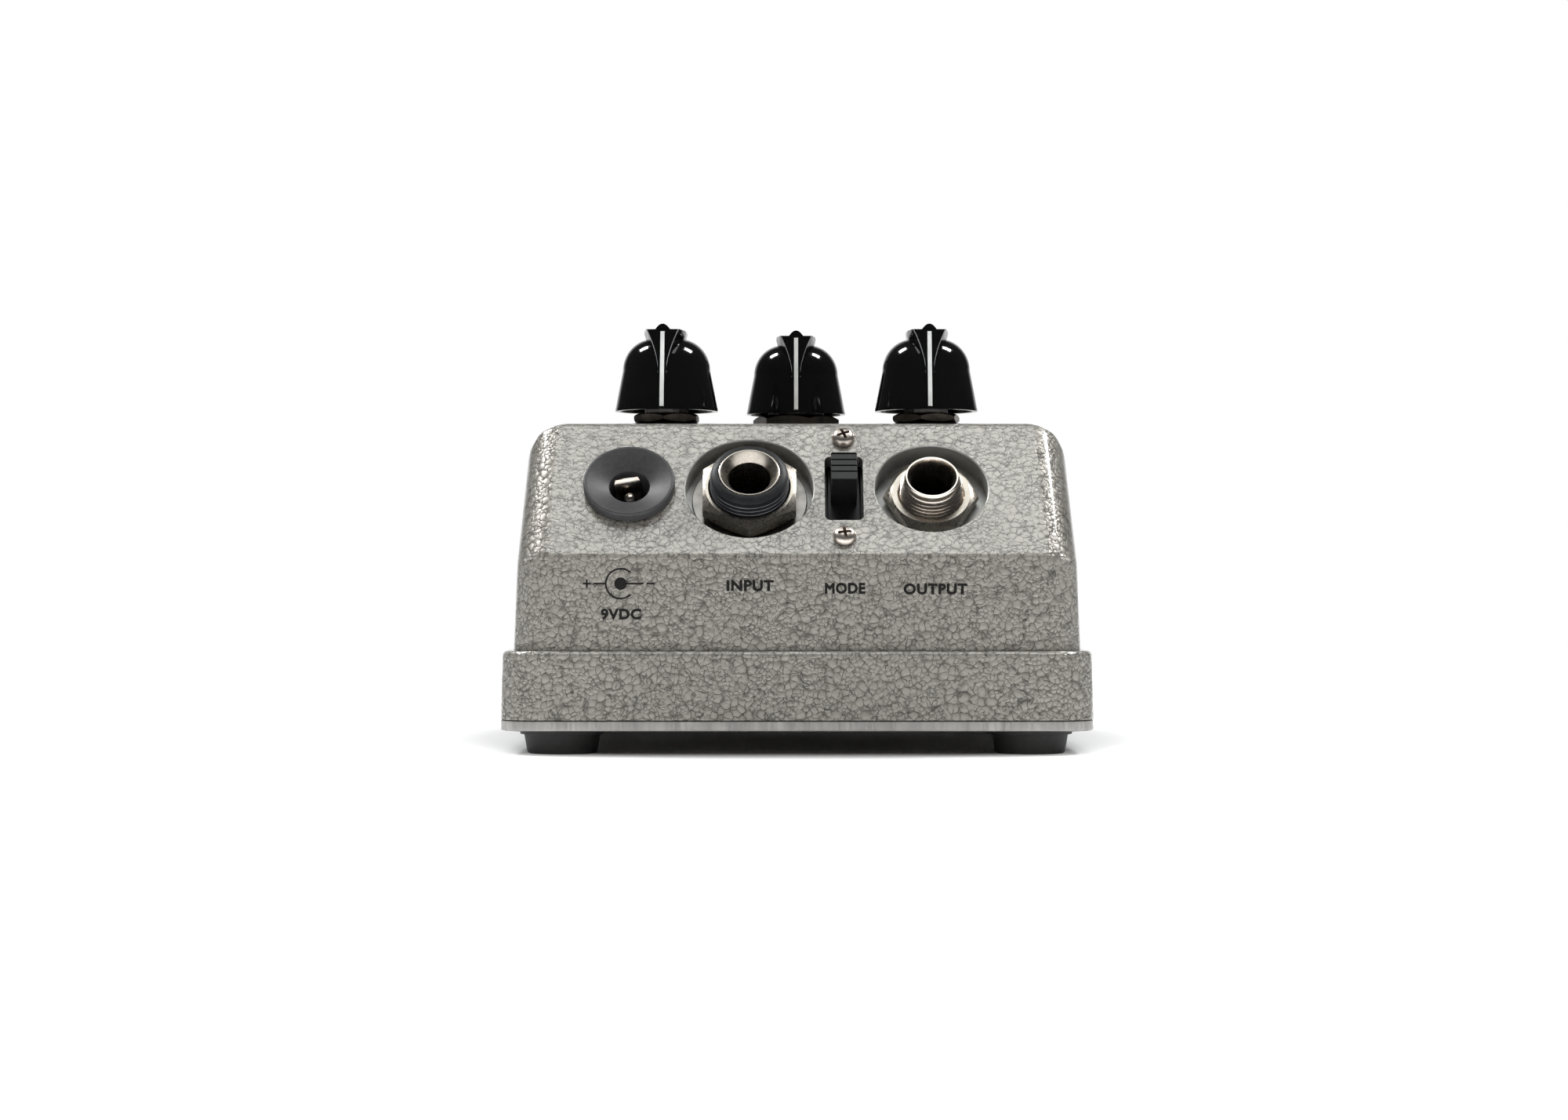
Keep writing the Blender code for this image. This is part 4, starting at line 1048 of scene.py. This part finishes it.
def white_line():
    shape = levelled(0.12 * MM, 12.75 * MM, 24)
    for vert in shape.verts:
        reach, = between(REACH, vert.co.z / MM)
        vert.co.x = math.copysign(0.33 * MM, vert.co.x)
        vert.co.y = (reach - 0.035 if vert.co.y < 0 else reach + 0.15) * MM
        vert.co.z *= KNOB_HEIGHT_SHARE
    return tidy(shape)


def knob_body():
    shape = joined(turned([(0.0, 0.0)] + [(r * MM, h * MM) for r, h in BELL], 128), ridge(), wedge(), rib())
    hollow = lathed((
        (0.0, -1.0), (7.5, -1.0), (7.5, 0.0), (7.35, 0.2), (6.2, 6.5), (4.6, 7.0), (4.6, 1.6), (0.0, 1.6),
    ), 96)
    shape = cut(shape, hollow, rod(2.9 * MM, -MM, 9.4 * MM, 48))
    bmesh.ops.scale(shape, vec=(1, 1, KNOB_HEIGHT_SHARE), verts=shape.verts)
    return shape


print("knob shapes ready")

# %% Three knobs with their washers and nuts
pots = {
    "left": (-3.6, 10.0, 1.5, 3.55, 6.0, 27), "middle": (0.0, 12.7, 2.3, 4.81, 7.4, -12),
    "right": (2.0, 10.0, 1.5, 3.55, 6.0, 19),
}
for word, (turn, across, height, bore, washer_radius, nut_turn) in pots.items():
    low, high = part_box(f"knob_{word}")
    joint = joints[f"knob_{word}_turn"]
    here = shift(joint["pos_m"][0], joint["pos_m"][1])
    stand = here @ shift(z=low.z) @ about_z(turn)
    body = f"{word}_knob"
    piece(
        f"bell_knob_{word}", knob_body(), [gloss_black, painted_edge_highlight], (f"knob_{word}",),
        body=body, at=stand, sharp=26.0,
    )
    piece(f"pointer_line_{word}", white_line(), [white_paint], (), body=body, at=stand)
    foot_z = case_top + 0.25 * MM
    bore_radius = bore * MM
    piece(
        f"control_washer_{word}", washer(bore_radius, washer_radius * MM, foot_z, foot_z + 0.4 * MM), [steel],
        (f"pot_washer_{word}",), at=here,
    )
    nut_foot = foot_z + 0.525 * MM
    piece(
        f"control_nut_{word}", nut(across * MM, bore_radius, nut_foot, nut_foot + height * MM, nut_turn),
        [steel_with_painted_shade], (f"pot_nut_{word}",), at=here, sharp=20.0,
    )

# %% [markdown]
# ## Lamp and stomp switch
# These stand out of sight behind the knobs in the first view, at the player's end of the case.

# %% Lamp
def lamp_bezel():
    return lathed((
        (2.6, -3.8), (3.1, -3.8), (3.1, 0.25), (3.95, 0.25), (4.0, 0.4), (3.95, 0.75), (3.75, 1.1),
        (3.45, 1.35), (3.1, 1.48), (2.85, 1.42), (2.6, 1.2),
    ), base=case_top)


def lamp_lens():
    dome = [
        (2.5 * math.cos(math.radians(a)), 0.2 + 2.5 * math.sin(math.radians(a))) for a in range(0, 91, 9)
    ]
    return turned([(0.0, case_top - 3.8 * MM)] + [
        (r * MM, case_top + z * MM) for r, z in [(2.5, -3.8)] + dome[:-1] + [(0.0, 2.7)]
    ], 64)


at_lamp = shift(middle_of("lamp_lens").x, middle_of("lamp_lens").y)
lamp_red = grained(
    "red_lens", (0.62, 0.012, 0.01), (0.5, 0.008, 0.008), 0.08, scale=900.0, relief=0.001 * MM,
    rough_spread=0.03, Transmission_Weight=0.35, IOR=1.49,
)
piece("lamp_ring", lamp_bezel(), [bright_nickel], ("lamp_bezel",), at=at_lamp)
piece("lamp_dome", lamp_lens(), [lamp_red], ("lamp_lens",), at=at_lamp, sharp=50.0)

# %% Stomp switch
def stomp_bushing():
    outer = [(8.6, -3.55), (8.6, -2.55), (6.0, -2.55)]
    thread = rings(6.0 * MM, case_top - 2.4 * MM, case_top + 5.4 * MM, 0.75 * MM, 0.25 * MM)
    low_part = [(5.25, -3.55)] + outer
    top_part = [(5.9, 5.45), (5.9, 5.6), (5.7, 5.8), (5.4, 5.8), (5.25, 5.65)]
    profile = [(r * MM, case_top + z * MM) for r, z in low_part] + thread
    return turned(profile + [(r * MM, case_top + z * MM) for r, z in top_part], 128)


def stomp_button():
    foot_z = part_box("stomp_switch_button")[0].z
    crown = [(5.0, 8.9), (4.95, 9.25), (4.75, 9.75), (4.35, 10.25), (3.7, 10.68), (2.8, 10.98), (1.5, 11.15)]
    return turned(
        [(0.0, foot_z), (5.0 * MM, foot_z)] + [(r * MM, case_top + z * MM) for r, z in crown]
        + [(0.0, case_top + 11.2 * MM)], 96,
    )


at_stomp = shift(middle_of("stomp_switch_button").x, middle_of("stomp_switch_button").y)
piece("stomp_thread", stomp_bushing(), [bright_nickel], ("stomp_switch_bushing",), at=at_stomp)
piece(
    "stomp_crown", stomp_button(), [bright_nickel], ("stomp_switch_button",), body="stomp_button",
    at=at_stomp, sharp=40.0,
)
washer_foot = case_top + 0.25 * MM
piece(
    "stomp_washer", washer(6.1 * MM, 8.4 * MM, washer_foot, washer_foot + 0.6 * MM), [satin_black],
    ("stomp_switch_washer",), at=at_stomp,
)
nut_foot = washer_foot + 0.725 * MM
piece(
    "stomp_hexagon", nut(14.0 * MM, 6.05 * MM, nut_foot, nut_foot + 2.6 * MM, 8), [bright_nickel],
    ("stomp_switch_nut",), at=at_stomp, sharp=20.0,
)

# %% [markdown]
# ## Printed words
# The words are screen printed on the upright face under the panel. Each is a thin piece of text turned into
# a mesh.

# %% Words and the power symbol
PRINT = 0.03 * MM  # how far the ink stands out
face_foot = skirt_bottom + 2 * MM
face_lean = math.atan2(LOWER_LEAN, BEND_HEIGHT - face_foot)


def on_rear_face(x, z):
    """A place on the upright rear face, with +Y of the drawing up the face and +Z out of it."""
    y = -(case_length / 2 - LEDGE) + (z - face_foot) * math.tan(face_lean)
    return Matrix.Translation((x, y, z)) @ Matrix.Rotation(math.radians(90) - face_lean, 4, "X")


def word_shape(text, width, height):
    """Text as a thin solid, centred, scaled to a width and a height."""
    curve = bpy.data.curves.new("word", "FONT")
    curve.body = text
    curve.size = 1.0
    curve.extrude = 1.0
    curve.bevel_depth = 0.042  # makes the strokes bolder
    curve.bevel_resolution = 0
    curve.space_character = 1.1
    curve.resolution_u = 4
    obj = bpy.data.objects.new("word", curve)
    bpy.context.scene.collection.objects.link(obj)
    shape = evaluated(obj)
    bmesh.ops.remove_doubles(shape, verts=shape.verts, dist=0.0001)
    xs, ys = [v.co.x for v in shape.verts], [v.co.y for v in shape.verts]
    bmesh.ops.translate(shape, vec=(-(min(xs) + max(xs)) / 2, -(min(ys) + max(ys)) / 2, 0), verts=shape.verts)
    scale = (width / (max(xs) - min(xs)), height / (max(ys) - min(ys)), PRINT)
    bmesh.ops.scale(shape, vec=scale, verts=shape.verts)
    bmesh.ops.recalc_face_normals(shape, faces=shape.faces)
    return shape


def power_symbol():
    """A dot in an open ring between a plus on the left and a minus on the right."""
    line = 0.26 * MM
    shape = turned([(0.0, -PRINT), (0.94 * MM, -PRINT), (0.94 * MM, PRINT), (0.0, PRINT)], 40)
    radius = 2.24 * MM
    arc = [shape.verts.new((radius + dx, 0, dz)) for dx, dz in (
        (-line / 2, -PRINT), (line / 2, -PRINT), (line / 2, PRINT), (-line / 2, PRINT),
    )]
    section = shape.faces.new(arc)
    bmesh.ops.rotate(shape, cent=(0, 0, 0), matrix=Matrix.Rotation(math.radians(48), 3, "Z"), verts=arc)
    bmesh.ops.spin(
        shape, geom=[section, *section.edges, *arc], cent=(0, 0, 0), axis=(0, 0, 1),
        angle=math.radians(264), steps=48, use_merge=False,
    )
    bars = (
        (-3.15, 0, 1.9, line / MM), (2.1, 0, 2.7, line / MM), (-5.1, 0, 1.2, 0.26), (-5.1, 0, 0.26, 1.2),
        (4.55, 0, 1.25, 0.26),
    )
    for x, y, width, height in bars:
        added = bmesh.ops.create_cube(shape, size=1.0)["verts"]
        bmesh.ops.scale(shape, vec=(width * MM, height * MM, 2 * PRINT), verts=added)
        bmesh.ops.translate(shape, vec=(x * MM, y * MM, 0), verts=added)
    bmesh.ops.recalc_face_normals(shape, faces=shape.faces)
    return shape


for text, x, z, width in (
    ("INPUT", -7.1, 25.5, 7.1), ("MODE", 7.2, 25.1, 6.1), ("OUTPUT", 20.8, 25.0, 9.6),
    ("9VDC", -26.55, 21.2, 6.05),
):
    shape = word_shape(text, width * MM, 1.7 * MM)
    name = "printed_" + text.lower()
    piece(name, shape, [black_print], (), at=on_rear_face(x * MM, z * MM))
piece(
    "printed_power_symbol", power_symbol(), [black_print], (),
    at=on_rear_face(-26.6 * MM, 25.8 * MM),
)

# %% [markdown]
# ## Pieces inside the case
# The parts inside keep their plain shapes, since nobody sees them with the base plate on, but each gets a
# real finish.

# %% Finishes for the inner pieces
board_green = grained("green_solder_mask", (0.015, 0.13, 0.05), (0.01, 0.09, 0.035), 0.3, scale=2500.0)
ribbon_grey = grained(
    "grey_ribbon", (0.42, 0.42, 0.44), (0.33, 0.33, 0.35), 0.5, scale=1200.0, stretch=(1.0, 0.05, 1.0),
)
inner_finish = {
    "board_green": board_green, "ribbon_grey": ribbon_grey, "satin_black": satin_black,
    "nickel": bright_nickel, "steel": steel, "gloss_black": gloss_black, "rubber": rubber,
    "lamp_red": lamp_red, "bare_aluminium": plate_metal, "hammertone": hammertone,
}
for obj in nodes.values():
    slot_name = obj.data.materials[0].name.split(".")[0]
    obj.data.materials[0] = inner_finish[slot_name]
print("finished", len(nodes), "nodes with", len(inner_finish), "finishes")

# %% [markdown]
# ## Floor and light
# The pedal stands on a white studio table that runs back into a white wall. Two square soft lights hang
# high at its sides. They draw the white streaks down the rounded ends of the panel and the spots on the
# knobs. A broad light overhead and one in front fill the panel, and the room behind the camera stays dark,
# so the gloss of the knobs stays black. The table glows a little away from the pedal, which keeps the
# background white up to the contact shadows.

# %% Floor
floor_mesh = bpy.data.meshes.new("floor")
floor_shape = bmesh.new()
bmesh.ops.create_grid(floor_shape, x_segments=1, y_segments=1, size=0.6)
floor_shape.to_mesh(floor_mesh)
floor_shape.free()
white_table = grained(
    "white_table", (0.86, 0.87, 0.88), (0.83, 0.84, 0.85), 0.55, scale=40.0, relief=0.0001 * MM,
)
table_tree = white_table.node_tree
from_middle = table_tree.nodes.new("ShaderNodeVectorMath")
from_middle.operation = "LENGTH"
table_tree.links.new(object_vector(table_tree, (1.3, 1.0, 1.0)), from_middle.inputs[0])
table_shader = table_tree.nodes["Principled BSDF"]
table_shader.inputs["Emission Color"].default_value = (1.0, 1.0, 1.0, 1.0)
glow = ramp(table_tree, from_middle.outputs["Value"], 0.064, 0.105, 0.0, 0.9)
table_tree.links.new(glow, table_shader.inputs["Emission Strength"])
floor_mesh.materials.append(white_table)
floor = bpy.data.objects.new("floor", floor_mesh)
bpy.context.scene.collection.objects.link(floor)
floor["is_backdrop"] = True
print("white floor laid")

# %% Room light
world = bpy.data.worlds.new("studio")
bpy.context.scene.world = world
world.use_nodes = True
sky = world.node_tree
background = sky.nodes["Background"]
room = sky.nodes.new("ShaderNodeTexCoord")
parts = sky.nodes.new("ShaderNodeSeparateXYZ")
sky.links.new(room.outputs["Generated"], parts.inputs["Vector"])
behind = ramp(sky, parts.outputs["Y"], 0.72, 0.97, 0.04, 1.0)
seen = sky.nodes.new("ShaderNodeLightPath")
lit = math_node(sky, "MAXIMUM", behind, seen.outputs["Is Camera Ray"])
sky.links.new(lit, background.inputs["Strength"])
background.inputs["Color"].default_value = (1.0, 1.0, 1.0, 1.0)
print("room light ready")

# %% Studio lights
def soft_light(name, direction, distance, width, height, power, colour=(1.0, 1.0, 1.0)):
    """A rectangular light that faces the pedal from a direction."""
    data = bpy.data.lights.new(name, "AREA")
    data.shape = "RECTANGLE"
    data.size, data.size_y = width, height
    data.energy = power
    data.color = colour
    light = bpy.data.objects.new(name, data)
    towards = Vector(direction).normalized()
    aim = Vector((0, -0.03, 0.035))
    light.location = aim + towards * distance
    light.rotation_euler = towards.to_track_quat("Z", "Y").to_euler()
    bpy.context.scene.collection.objects.link(light)
    return light


soft_light("left_softbox", (-0.58, 0.25, 0.78), 0.9, 0.17, 0.22, 5.0)
soft_light("right_softbox", (0.56, 0.15, 0.81), 0.9, 0.17, 0.22, 5.0)
soft_light("overhead", (0.0, -0.2, 0.98), 1.1, 0.7, 0.7, 4.0, (0.97, 1.0, 0.99))
fill = soft_light("front_fill", (0.0, -0.75, 0.6), 1.2, 0.8, 0.5, 5.5, (1.0, 0.95, 0.89))
fill.visible_glossy = False

# %% [markdown]
# ## Last check
# The overall size of the finished pieces is measured, since they must stay inside the plain model's box.

# %% Measure the overall size
low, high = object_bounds()
